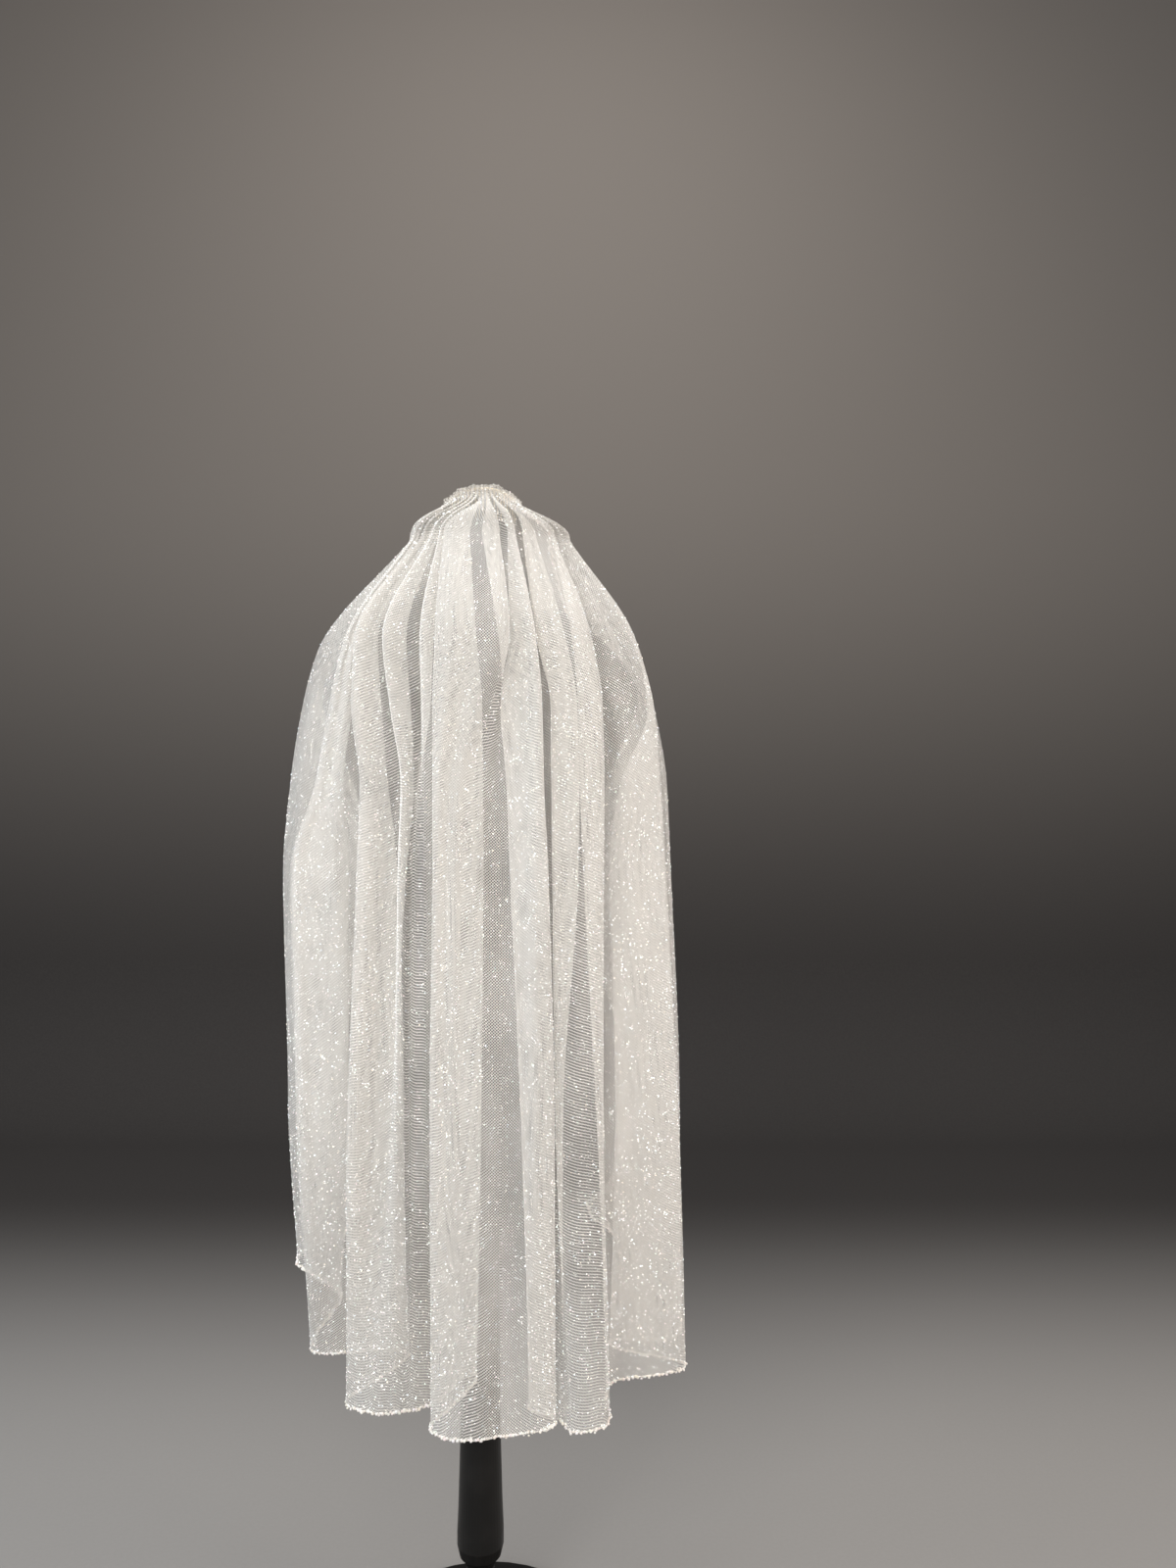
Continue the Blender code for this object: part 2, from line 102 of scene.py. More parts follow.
FOLD_LINES: tuple[FoldLine, ...] = (
    FoldLine("left_edge", -68, 8, -112, -125, -128, -130, -122, -112, -205, -205, 135, 660),
    FoldLine("left_wave_1", -73, 5, -128, -140, -145, -150, -147, -145, -215, -215, 155, 560),
    FoldLine("left_wave_2", -76, -1, -145, -157, -160, -163, -158, -152, -190, -190, 120, 530),
    FoldLine("left_wave_3", -80, -5, -166, -178, -184, -190, -187, -185, -200, -200, 140, 505),
    FoldLine("left_wave_4", -82, -12, -172, -193, -200, -205, -200, -196, -165, -165, 95, 495),
    FoldLine("left_wave_5", -84, -18, -191, -214, -224, -230, -226, -232, -140, -150, 80, 488),
    FoldLine("left_side", -84, -27, -197, -219, -233, -241, -234, -241, -85, -95, 45, 480),
    FoldLine("fold_1_inner", -72, -36, -137, -145, -155, -148, -148, -173, -25, -30, -5, 459),
    FoldLine("fold_1_outer", -78, -47, -150, -168, -184, -212, -205, -200, -6, -12, -55, 416),
    FoldLine("fold_2_inner", -56, -46, -111, -106, -98, -87, -78, -83, -2, -4, -55, 410),
    FoldLine("fold_2_outer", -65, -58, -134, -137, -127, -130, -139, -148, 18, 18, -97, 375),
    FoldLine("fold_3_inner", -47, -57, -77, -71, -67, -75, -90, -115, 4, 12, -126, 377),
    FoldLine("fold_3_outer", -52, -67, -101, -92, -79, -82, -84, -92, 20, 22, -128, 377),
    FoldLine("fold_4_inner", -36, -64, -45, -48, -60, -66, -68, -69, 6, 16, -119, 376),
    FoldLine("fold_4_outer", -42, -75, -58, -56, -54, -52, -50, -48, 22, 14, -101, 375),
    FoldLine("fold_5_inner", -7, -66, 5, 12, 13, 14, 12, -1, 4, 4, -60, 389),
    FoldLine("fold_5_outer", -36, -82, -39, -41, -41, -41, -43, -43, 38, 36, -145, 366),
    FoldLine("fold_6_outer", 30, -88, 46, 26, -2, -8, -8, -5, 40, 44, -165, 366),
    FoldLine("fold_6_inner", 8, -73, 32, 42, 43, 38, 37, 38, 22, 42, -158, 368),
    FoldLine("fold_7_outer", 48, -84, 75, 83, 85, 90, 97, 98, 38, 36, -138, 372),
    FoldLine("fold_7_inner", 39, -63, 44, 34, 41, 45, 58, 69, 6, 6, -105, 374),
    FoldLine("fold_8_inner", 72, -43, 109, 123, 125, 124, 106, 104, 0, 2, -130, 370),
    FoldLine("fold_8_outer", 57, -74, 75, 92, 93, 94, 98, 117, 18, 20, -145, 366),
    FoldLine("fold_9_outer", 93, -49, 139, 152, 154, 153, 152, 154, 10, 14, -138, 368),
    FoldLine("fold_9_inner", 92, -41, 117, 124, 126, 130, 145, 165, -16, -10, -58, 377),
    FoldLine("fold_10_outer", 106, -34, 190, 214, 222, 228, 242, 255, -45, -40, -43, 390),
    FoldLine("fold_10_inner", 112, -26, 194, 208, 174, 161, 168, 162, -62, -60, -15, 404),
    FoldLine("right_side", 111, -15, 197, 218, 231, 235, 246, 247, -100, -100, 20, 396),
    FoldLine("right_wave_5", 110, -8, 193, 215, 227, 233, 240, 250, -150, -150, 70, 410),
    FoldLine("right_wave_4", 105, -3, 179, 200, 210, 215, 215, 207, -170, -170, 100, 435),
    FoldLine("right_wave_3", 97, 4, 175, 187, 193, 196, 195, 185, -200, -200, 138, 470),
    FoldLine("right_wave_2", 93, 7, 155, 166, 170, 172, 166, 150, -187, -187, 118, 505),
    FoldLine("right_wave_1", 90, 13, 138, 148, 150, 152, 146, 122, -215, -215, 155, 535),
    FoldLine("right_edge", 86, 15, 120, 132, 132, 130, 120, 100, -202, -202, 130, 600),
)

BACK_PLANE: Pairs = (
    (Level.SHOULDER, -0.105),
    (Level.BLADE, -0.112),
    (Level.RIB, -0.113),
    (Level.HIP, -0.120),
)

FOLD_RADIUS: Pairs = (
    (0.37, 0.010),
    (Level.HIP, 0.007),
    (Level.SHOULDER, 0.005),
    (Level.NAPE, 0.0025),
    (Level.COMB_FOOT, 0.0008),
    (Level.HEADER_TOP, 0.0008),
)


class Crease(NamedTuple):
    """A soft crease on the cloth between a fold line and the next one."""

    after: str
    along: float
    lean: float
    top_z: float
    foot_z: float
    width_mm: float
    depth_mm: float


# Depth is positive where the crease is a ridge on the side that shows, and negative where it is a trough.
CREASES: tuple[Crease, ...] = (
    Crease("left_wave_1", 0.50, 0.10, 1.30, 0.62, 9, -2.5),
    Crease("left_wave_3", 0.40, 0.20, 1.34, 0.60, 8, 2.4),
    Crease("left_wave_5", 0.50, -0.10, 1.36, 0.80, 10, -2.6),
    Crease("left_wave_5", 0.75, 0.10, 1.05, 0.55, 8, 2.0),
    Crease("left_side", 0.22, 0.12, 1.36, 0.70, 9, 3.2),
    Crease("left_side", 0.45, 0.10, 1.30, 0.52, 8, -2.8),
    Crease("left_side", 0.70, -0.12, 1.22, 0.60, 7, 2.6),
    Crease("fold_1_outer", 0.18, 0.10, 1.30, 0.45, 7, -2.2),
    Crease("fold_1_outer", 0.38, 0.16, 1.33, 0.60, 8, 2.8),
    Crease("fold_1_outer", 0.62, -0.08, 1.20, 0.50, 7, -2.4),
    Crease("fold_1_outer", 0.84, -0.05, 1.00, 0.42, 6, 2.0),
    Crease("fold_2_outer", 0.30, 0.10, 1.28, 0.55, 7, 2.6),
    Crease("fold_2_outer", 0.62, 0.06, 1.18, 0.44, 6, -2.4),
    Crease("fold_3_outer", 0.45, -0.10, 1.24, 0.70, 6, 2.0),
    Crease("fold_4_outer", 0.22, 0.12, 1.35, 0.62, 7, 2.6),
    Crease("fold_4_outer", 0.48, -0.06, 1.30, 0.44, 7, -2.8),
    Crease("fold_4_outer", 0.74, 0.05, 1.12, 0.40, 6, 2.2),
    Crease("fold_5_inner", 0.50, 0.08, 1.26, 0.50, 7, -2.0),
    Crease("fold_5_outer", 0.16, 0.05, 1.40, 0.95, 6, -2.2),
    Crease("fold_5_outer", 0.34, -0.06, 1.38, 0.72, 7, 2.6),
    Crease("fold_5_outer", 0.55, 0.10, 1.32, 0.50, 9, -2.0),
    Crease("fold_5_outer", 0.80, 0.05, 1.36, 0.62, 6, 2.4),
    Crease("fold_6_inner", 0.30, 0.10, 1.34, 0.60, 6, -2.2),
    Crease("fold_6_inner", 0.62, -0.10, 1.25, 0.45, 7, 2.4),
    Crease("fold_8_outer", 0.35, 0.15, 1.30, 0.75, 6, 2.2),
    Crease("fold_8_outer", 0.66, -0.06, 1.22, 0.48, 6, -2.2),
    Crease("fold_9_inner", 0.14, 0.05, 1.36, 0.72, 6, 2.4),
    Crease("fold_9_inner", 0.34, 0.08, 1.33, 0.48, 8, -3.0),
    Crease("fold_9_inner", 0.56, -0.10, 1.30, 0.55, 8, 3.0),
    Crease("fold_9_inner", 0.78, 0.06, 1.12, 0.42, 7, -2.6),
    Crease("fold_10_inner", 0.50, 0.05, 1.20, 0.55, 8, 2.4),
    Crease("right_side", 0.40, 0.10, 1.32, 0.60, 9, -2.6),
    Crease("right_side", 0.72, -0.05, 1.10, 0.48, 8, 2.4),
    Crease("right_wave_5", 0.45, 0.10, 1.34, 0.70, 8, 2.2),
    Crease("right_wave_4", 0.55, -0.12, 1.30, 0.60, 8, -2.4),
    Crease("right_wave_3", 0.50, 0.10, 1.25, 0.55, 8, 2.2),
)


def read_table(pairs: Pairs, at: float) -> float:
    """A value from (place, value) pairs, straight between them.

    Args:
        pairs: Places with their values, in any order.
        at: The place to read.

    Returns:
        The value there.
    """
    places, values = zip(*sorted(pairs))
    return float(np.interp(at, places, values))


def smooth_curve(knots: tuple, values: tuple, at: float) -> float:
    """A monotone cubic through values at rising knots.

    Args:
        knots: Rising places.
        values: The value at each knot.
        at: The place to read.

    Returns:
        The curve's value there.
    """
    places = np.asarray(knots, float)
    held = np.asarray(values, float)
    step = np.diff(places)
    slope = np.diff(held) / step
    tangent = np.zeros_like(held)
    tangent[0] = slope[0]
    tangent[-1] = slope[-1]
    for i in range(1, len(held) - 1):
        if slope[i - 1] * slope[i] > 0:
            tangent[i] = 2 * slope[i - 1] * slope[i] / (slope[i - 1] + slope[i])
    at = min(max(at, places[0]), places[-1])
    i = int(np.clip(np.searchsorted(places, at) - 1, 0, len(step) - 1))
    t = (at - places[i]) / step[i]
    return float(
        (1 + 2 * t) * (1 - t) ** 2 * held[i]
        + t * (1 - t) ** 2 * step[i] * tangent[i]
        + t * t * (3 - 2 * t) * held[i + 1]
        - t * t * (1 - t) * step[i] * tangent[i + 1]
    )


def ease(share: float) -> float:
    """A smooth step from 0 to 1."""
    share = min(max(share, 0.0), 1.0)
    return share * share * (3 - 2 * share)


def smooth_noise(places: np.ndarray, spacing: float, rng: np.random.Generator) -> np.ndarray:
    """Smooth random values in -1 to 1 along a line.

    Args:
        places: Where to read it, from 0 up.
        spacing: The distance between its random knots.
        rng: The seeded source of numbers.

    Returns:
        One value for each place.
    """
    knots = int(places.max() / spacing) + 3
    values = rng.uniform(-1, 1, knots)
    at = places / spacing
    low = at.astype(int)
    t = at - low
    t = t * t * (3 - 2 * t)
    return values[low] * (1 - t) + values[low + 1] * t


def unit(vectors: np.ndarray) -> np.ndarray:
    """The vectors with their lengths made 1."""
    size = np.linalg.norm(vectors, axis=-1, keepdims=True)
    return vectors / np.maximum(size, 1e-12)


# Materials


class NodeSheet:
    """A material's node tree, with short ways to add to it."""

    def __init__(self, name: str) -> None:
        """Starts a material with its Principled node.

        Args:
            name: The material's name.
        """
        self.material = bpy.data.materials.new(name)
        self.material.use_nodes = True
        self.tree = self.material.node_tree
        self.shader = self.tree.nodes["Principled BSDF"]

    def add(self, kind: str, **settings: object) -> bpy.types.Node:
        """Adds a node.

        Args:
            kind: The node's type name, without its ShaderNode prefix.
            **settings: Properties to set on it.

        Returns:
            The node.
        """
        node = self.tree.nodes.new("ShaderNode" + kind)
        for key, value in settings.items():
            setattr(node, key, value)
        return node

    def link(self, source: object, target: object) -> None:
        """Joins an output to an input."""
        self.tree.links.new(source, target)

    def put(self, socket: object, value: object) -> None:
        """Links a value to a socket where it is an output, or sets it there.

        Args:
            socket: The input socket.
            value: An output socket or a plain value.
        """
        if isinstance(value, bpy.types.NodeSocket):
            self.link(value, socket)
        else:
            socket.default_value = value

    def feed(self, name: str, value: object) -> None:
        """Joins an output to the shader's socket of this name."""
        self.link(value, self.shader.inputs[name])

    def math(self, operation: str, *values: object, clamp: bool = False) -> object:
        """A Math node's output.

        Args:
            operation: The node's operation.
            *values: One, two or three numbers or outputs.
            clamp: Whether the result is kept in 0 to 1.

        Returns:
            The output socket.
        """
        node = self.add("Math", operation=operation, use_clamp=clamp)
        for socket, value in zip(node.inputs, values):
            self.put(socket, value)
        return node.outputs[0]

    def mix(self, share: object, first: object, second: object) -> object:
        """Blends two colours.

        Args:
            share: A number or output, 0 for the first and 1 for the second.
            first: A colour or output.
            second: A colour or output.

        Returns:
            The blended colour's output.
        """
        node = self.add("Mix", data_type="RGBA")
        self.put(node.inputs[0], share)
        self.put(node.inputs[6], first if isinstance(first, bpy.types.NodeSocket) else (*first, 1.0))
        self.put(node.inputs[7], second if isinstance(second, bpy.types.NodeSocket) else (*second, 1.0))
        return node.outputs[2]

    def span(self, value: object, low: float, high: float, to_low: float, to_high: float) -> object:
        """Maps a range smoothly to another.

        Args:
            value: The output to read.
            low: Its low end.
            high: Its high end.
            to_low: What the low end becomes.
            to_high: What the high end becomes.

        Returns:
            The mapped output.
        """
        node = self.add("MapRange", interpolation_type="SMOOTHSTEP")
        self.link(value, node.inputs[0])
        for index, number in enumerate((low, high, to_low, to_high), start=1):
            node.inputs[index].default_value = number
        return node.outputs[0]

    def noise(self, vector: object, scale: float, detail: float = 2.0, stretch: Color = (1, 1, 1)) -> object:
        """A noise texture's value.

        Args:
            vector: The coordinates' output.
            scale: Its scale.
            detail: Its octaves.
            stretch: A scale for each axis.

        Returns:
            The value's output.
        """
        mapping = self.add("Mapping")
        mapping.inputs["Scale"].default_value = stretch
        self.link(vector, mapping.inputs["Vector"])
        node = self.add("TexNoise")
        node.inputs["Scale"].default_value = scale
        node.inputs["Detail"].default_value = detail
        self.link(mapping.outputs[0], node.inputs["Vector"])
        return node.outputs["Fac"]

    def bump(self, height: object, distance: float, strength: float = 1.0) -> None:
        """Puts a bump on the surface.

        Args:
            height: The height's output, 0 to 1.
            distance: The height in metres of a full step.
            strength: The bump's strength.
        """
        node = self.add("Bump")
        node.inputs["Distance"].default_value = distance
        node.inputs["Strength"].default_value = strength
        self.link(height, node.inputs["Height"])
        self.link(node.outputs[0], self.shader.inputs["Normal"])

    def place(self) -> object:
        """The object's own coordinates, in metres."""
        return self.add("TexCoord").outputs["Object"]

    def attribute(self, name: str) -> bpy.types.Node:
        """A node that reads a mesh attribute."""
        return self.add("Attribute", attribute_name=name, attribute_type="GEOMETRY")

    def set(self, **numbers: object) -> None:
        """Sets numbers on the shader's own sockets, with _ for a space in a socket's name."""
        for key, value in numbers.items():
            self.shader.inputs[key.replace("_", " ")].default_value = value


@dataclass(frozen=True)
class TulleFinish:
    """Ivory net with a diamond mesh, denser along its folds, with fine glitter in the yarn. A painted
    highlight and a painted glow run along the fold crests, and the glitter has a painted glow.
    """

    ivory: Color = (0.875, 0.84, 0.79)
    shaded: Color = (0.66, 0.635, 0.60)
    # The pearl colour is the glitter's own colour, and also the colour of the painted highlight and painted
    # glow along the fold crests.
    glitter_and_highlight_pearl: Color = (0.97, 0.955, 0.93)
    mesh_pitch: float = 3.4 * MM
    yarn_share: float = 0.30
    yarn_cover: float = 0.90
    gap_cover: float = 0.09
    fold_cover: float = 0.80
    # How strongly the fold crests give off a painted glow.
    fold_painted_glow: float = 0.30
    glint_pitch: float = 4.2 * MM
    glint_share: float = 0.16

    def material(self) -> bpy.types.Material:
        """Makes the net's material, whose pattern follows the cut cloth.

        Returns:
            The material.
        """
        nodes = NodeSheet("tulle_net")
        cut = nodes.add("UVMap", uv_map="cut").outputs[0]
        split = nodes.add("SeparateXYZ")
        nodes.link(cut, split.inputs[0])
        across, down = split.outputs[0], split.outputs[1]
        yarns = []
        for operation in ("ADD", "SUBTRACT"):
            slant = nodes.math(operation, across, down)
            cell = nodes.math("FRACT", nodes.math("DIVIDE", slant, self.mesh_pitch))
            off = nodes.math("ABSOLUTE", nodes.math("SUBTRACT", cell, 0.5))
            outside, inside = (0.5 - self.yarn_share * part for part in (0.75, 0.25))
            yarns.append(nodes.span(off, outside, inside, 0.0, 1.0))
        yarn = nodes.math("MAXIMUM", *yarns)
        cover = nodes.span(yarn, 0.0, 1.0, self.gap_cover, self.yarn_cover)
        fold = nodes.math("POWER", nodes.attribute("fold").outputs["Fac"], 2.0)
        cloudy = nodes.noise(cut, 26.0, 3.0, (1.0, 0.35, 1.0))
        cover = nodes.math("ADD", cover, nodes.math("MULTIPLY", fold, self.fold_cover))
        cover = nodes.math("ADD", cover, nodes.span(cloudy, 0.3, 0.7, -0.07, 0.07))
        cells = nodes.add("TexVoronoi", feature="F1")
        cells.inputs["Scale"].default_value = 1.0 / self.glint_pitch
        cells.inputs["Randomness"].default_value = 1.0
        nodes.link(cut, cells.inputs["Vector"])
        glint = nodes.span(cells.outputs["Distance"], self.glint_share * 0.5, self.glint_share, 1.0, 0.0)
        nodes.feed("Alpha", nodes.math("MAXIMUM", cover, glint, clamp=True))
        # Painted highlight: the colour turns pearl along the fold crests. At the glitter, pearl is the
        # glitter's own colour.
        pale = nodes.math("MAXIMUM", glint, nodes.math("MULTIPLY", fold, 0.6), clamp=True)
        woven = nodes.mix(yarn, self.shaded, self.ivory)
        nodes.feed("Base Color", nodes.mix(pale, woven, self.glitter_and_highlight_pearl))
        nodes.feed("Roughness", nodes.span(glint, 0.0, 1.0, 0.62, 0.22))
        # Painted glow: the glitter and the fold crests give off light in the pearl colour, though they are no
        # lamp.
        painted_glow_share = nodes.math("MAXIMUM", glint, nodes.math("MULTIPLY", fold, self.fold_painted_glow))
        nodes.feed("Emission Color", nodes.mix(painted_glow_share, (0.0, 0.0, 0.0), self.glitter_and_highlight_pearl))
        nodes.set(Sheen_Weight=0.2, Sheen_Roughness=0.4, Emission_Strength=0.5)
        nodes.bump(yarn, 0.15 * MM, 0.5)
        return nodes.material


@dataclass(frozen=True)
class GlitterFinish:
    """Foil grains, each in its own faint tint, with a painted glow in that tint."""

    smooth: float = 0.16
    rough: float = 0.34
    metallic: float = 0.3
    painted_glow_strength: float = 4.2

    def material(self) -> bpy.types.Material:
        """Makes the foil's material from the grains' tints.

        Returns:
            The material.
        """
        nodes = NodeSheet("glitter_foil")
        tint = nodes.attribute("tint").outputs["Color"]
        nodes.feed("Base Color", tint)
        # Painted glow: the grains give off light in their tint.
        nodes.feed("Emission Color", tint)
        mottled = nodes.noise(nodes.place(), 900.0)
        nodes.feed("Roughness", nodes.span(mottled, 0.3, 0.7, self.smooth, self.rough))
        nodes.set(Metallic=self.metallic, Emission_Strength=self.painted_glow_strength)
        return nodes.material


@dataclass(frozen=True)
class BeadFinish:
    """Glossy ivory and peach seed beads."""

    smooth: float = 0.16
    rough: float = 0.36
    coat: float = 0.5
    warm: Color = (0.98, 0.93, 0.86)

    def material(self) -> bpy.types.Material:
        """Makes the beads' material from their tints.

        Returns:
            The material.
        """
        nodes = NodeSheet("edge_beads")
        tint = nodes.attribute("tint").outputs["Color"]
        clouds = nodes.noise(nodes.place(), 420.0, 3.0)
        shade = nodes.mix(nodes.span(clouds, 0.35, 0.7, 0.0, 0.35), tint, self.warm)
        nodes.feed("Base Color", shade)
        nodes.feed("Roughness", nodes.span(clouds, 0.3, 0.7, self.smooth, self.rough))
        nodes.set(Coat_Weight=self.coat, Coat_Roughness=0.1)
        nodes.bump(clouds, 0.1 * MM, 0.3)
        return nodes.material


@dataclass(frozen=True)
class ThreadFinish:
    """Twisted ivory sewing thread."""

    ivory: Color = (0.86, 0.81, 0.73)
    shaded: Color = (0.70, 0.64, 0.56)

    def material(self) -> bpy.types.Material:
        """Makes the thread's material, with its twist as a fine bump.

        Returns:
            The material.
        """
        nodes = NodeSheet("sewing_thread")
        twist = nodes.noise(nodes.place(), 2600.0, 1.0, (1.0, 1.0, 0.25))
        nodes.feed("Base Color", nodes.mix(nodes.span(twist, 0.3, 0.7, 0.0, 1.0), self.ivory, self.shaded))
        nodes.set(Roughness=0.6, Sheen_Weight=0.2)
        nodes.bump(twist, 0.1 * MM, 0.5)
        return nodes.material


@dataclass(frozen=True)
class JerseyFinish:
    """Dark knitted jersey, with its fine ribs, a little lint and a soft nap."""

    dark: Color = (0.022, 0.021, 0.023)
    worn: Color = (0.050, 0.048, 0.050)
    rib_pitch: float = 1.6 * MM

    def material(self) -> bpy.types.Material:
        """Makes the form's jersey.

        Returns:
            The material.
        """
        nodes = NodeSheet("form_jersey")
        place = nodes.place()
        split = nodes.add("SeparateXYZ")
        nodes.link(place, split.inputs[0])
        turn = nodes.math("ARCTAN2", split.outputs[1], split.outputs[0])
        rib = nodes.math("SINE", nodes.math("MULTIPLY", turn, 420.0))
        course = nodes.math("SINE", nodes.math("MULTIPLY", split.outputs[2], 2 * math.pi / self.rib_pitch))
        knit = nodes.math("MULTIPLY", nodes.math("ADD", rib, 1.2), nodes.math("ADD", course, 1.4))
        knit = nodes.span(knit, 0.0, 5.0, 0.0, 1.0)
        nap = nodes.noise(place, 38.0, 5.0)
        lint = nodes.noise(place, 700.0, 2.0)
        shade = nodes.mix(nodes.span(nap, 0.35, 0.75, 0.0, 0.8), self.dark, self.worn)
        shade = nodes.mix(nodes.span(lint, 0.70, 0.78, 0.0, 0.6), shade, (0.16, 0.155, 0.15))
        nodes.feed("Base Color", shade)
        nodes.feed("Roughness", nodes.span(nap, 0.3, 0.7, 0.78, 0.92))
        nodes.set(Sheen_Weight=0.25, Sheen_Roughness=0.5, Specular_IOR_Level=0.3)
        nodes.bump(knit, 0.3 * MM, 0.6)
        return nodes.material


@dataclass(frozen=True)
class PaintFinish:
    """Black satin paint on turned wood, with its grain, dust and rubbed edges."""

    black: Color = (0.010, 0.0095, 0.009)
    dust: Color = (0.030, 0.028, 0.026)
    rubbed: Color = (0.11, 0.065, 0.038)

    def material(self, name: str) -> bpy.types.Material:
        """Makes the paint.

        Args:
            name: The material's name.

        Returns:
            The material.
        """
        nodes = NodeSheet(name)
        place = nodes.place()
        grain = nodes.noise(place, 160.0, 4.0, (1.0, 1.0, 0.06))
        specks = nodes.noise(place, 320.0, 2.0)
        cloud = nodes.noise(place, 14.0, 4.0)
        turned = nodes.noise(place, 420.0, 1.0, (0.02, 0.02, 1.0))
        shade = nodes.mix(nodes.span(cloud, 0.45, 0.8, 0.0, 0.35), self.black, self.dust)
        shade = nodes.mix(nodes.span(specks, 0.72, 0.80, 0.0, 0.7), shade, self.dust)
        point = nodes.add("NewGeometry").outputs["Pointiness"]
        edges = nodes.span(point, 0.53, 0.60, 0.0, 1.0)
        worn = nodes.math("MULTIPLY", edges, nodes.span(specks, 0.45, 0.6, 0.0, 1.0))
        nodes.feed("Base Color", nodes.mix(worn, shade, self.rubbed))
        nodes.feed("Roughness", nodes.span(cloud, 0.3, 0.75, 0.28, 0.46))
        height = nodes.math("ADD", nodes.math("MULTIPLY", grain, 0.5), nodes.math("MULTIPLY", turned, 0.5))
        nodes.set(Coat_Weight=0.04, Coat_Roughness=0.2, Specular_IOR_Level=0.22)
        nodes.bump(height, 0.25 * MM, 0.35)
        return nodes.material


@dataclass(frozen=True)
class CombFinish:
    """Pale gold wire, a little dulled in its hollows."""

    gold: Color = (0.82, 0.70, 0.48)
    dull: Color = (0.52, 0.43, 0.30)

    def material(self) -> bpy.types.Material:
        """Makes the comb's metal.

        Returns:
            The material.
        """
        nodes = NodeSheet("comb_wire")
        cloud = nodes.noise(nodes.place(), 260.0, 4.0)
        drawn = nodes.noise(nodes.place(), 1800.0, 1.0, (1.0, 1.0, 0.05))
        nodes.feed("Base Color", nodes.mix(nodes.span(cloud, 0.4, 0.75, 0.0, 0.7), self.gold, self.dull))
        nodes.feed("Roughness", nodes.span(cloud, 0.3, 0.7, 0.18, 0.34))
        nodes.set(Metallic=1.0)
        nodes.bump(drawn, 0.05 * MM, 0.4)
        return nodes.material


@dataclass(frozen=True)
class PaperFinish:
    """Plain matt backdrop paper: pale under the stand, with painted shade that darkens it behind the stand
    and painted light that makes it paler again high up.
    """

    pale: Color = (0.30, 0.29, 0.28)
    # dark is painted shade behind the stand, and high is painted light high up.
    dark: Color = (0.045, 0.042, 0.041)
    high: Color = (0.165, 0.150, 0.137)
    pale_until_y: float = 0.35
    painted_shade_from_y: float = 1.7
    painted_shade_until_z: float = 0.3
    painted_light_from_z: float = 2.2

    def material(self) -> bpy.types.Material:
        """Makes the paper's material.

        Returns:
            The material.
        """
        nodes = NodeSheet("backdrop_paper_painted_light_and_shade")
        split = nodes.add("SeparateXYZ")
        nodes.link(nodes.place(), split.inputs[0])
        # Painted shade darkens the paper towards the back, and painted light makes it paler again high up.
        back = nodes.span(split.outputs[1], self.pale_until_y, self.painted_shade_from_y, 0.0, 1.0)
        up = nodes.span(split.outputs[2], self.painted_shade_until_z, self.painted_light_from_z, 0.0, 1.0)
        shade = nodes.mix(up, nodes.mix(back, self.pale, self.dark), self.high)
        fibres = nodes.noise(nodes.place(), 180.0, 4.0)
        nodes.feed("Base Color", nodes.mix(nodes.span(fibres, 0.3, 0.7, 0.0, 0.05), shade, self.high))
        nodes.set(Roughness=0.95, Specular_IOR_Level=0.1)
        return nodes.material


# Meshes


def mesh_object(name: str, verts: np.ndarray, faces: np.ndarray, smooth: bool) -> bpy.types.Object:
    """Makes an object from arrays of points and of faces with equal corner counts.

    Args:
        name: The object's name.
        verts: Points, one row each.
        faces: Corner indices, one row for each face.
        smooth: Whether it is shaded smooth.

    Returns:
        The linked object.
    """
    mesh = bpy.data.meshes.new(name)
    corners = faces.shape[1]
    mesh.vertices.add(len(verts))
    mesh.vertices.foreach_set("co", np.asarray(verts, np.float32).ravel())
    mesh.loops.add(faces.size)
    mesh.loops.foreach_set("vertex_index", faces.astype(np.int32).ravel())
    mesh.polygons.add(len(faces))
    mesh.polygons.foreach_set("loop_start", np.arange(0, faces.size, corners, dtype=np.int32))
    mesh.polygons.foreach_set("use_smooth", np.full(len(faces), smooth))
    mesh.update(calc_edges=True)
    mesh.validate()
    made = bpy.data.objects.new(name, mesh)
    bpy.context.scene.collection.objects.link(made)
    return made


def tint_points(obj: bpy.types.Object, colors: np.ndarray) -> None:
    """Stores a colour on each point of a mesh, as the attribute tint.

    Args:
        obj: The mesh object.
        colors: One row of red, green and blue for each point.
    """
    held = obj.data.color_attributes.new("tint", "FLOAT_COLOR", "POINT")
    full = np.column_stack([colors, np.ones(len(colors))]).astype(np.float32)
    held.data.foreach_set("color", full.ravel())


def round_bead() -> MeshArrays:
    """Makes a bead of radius 1.

    Returns:
        Its points and triangles.
    """
    bm = bmesh.new()
    bmesh.ops.create_icosphere(bm, subdivisions=2, radius=1.0)
    verts = np.array([v.co[:] for v in bm.verts])
    faces = np.array([[v.index for v in f.verts] for f in bm.faces])
    bm.free()
    return verts, faces


def repeated(verts: np.ndarray, faces: np.ndarray, frames: np.ndarray, centres: np.ndarray) -> MeshArrays:
    """Copies a small mesh to many places.

    Args:
        verts: Its points.
        faces: Its faces.
        frames: For each copy, three rows that its axes become, sizes included.
        centres: For each copy, where its middle goes.

    Returns:
        The joined points and faces.
    """
    placed = np.einsum("vi,nij->nvj", verts, frames) + centres[:, None, :]
    joined = faces[None] + (np.arange(len(centres)) * len(verts))[:, None, None]
    return placed.reshape(-1, 3), joined.reshape(-1, faces.shape[1])


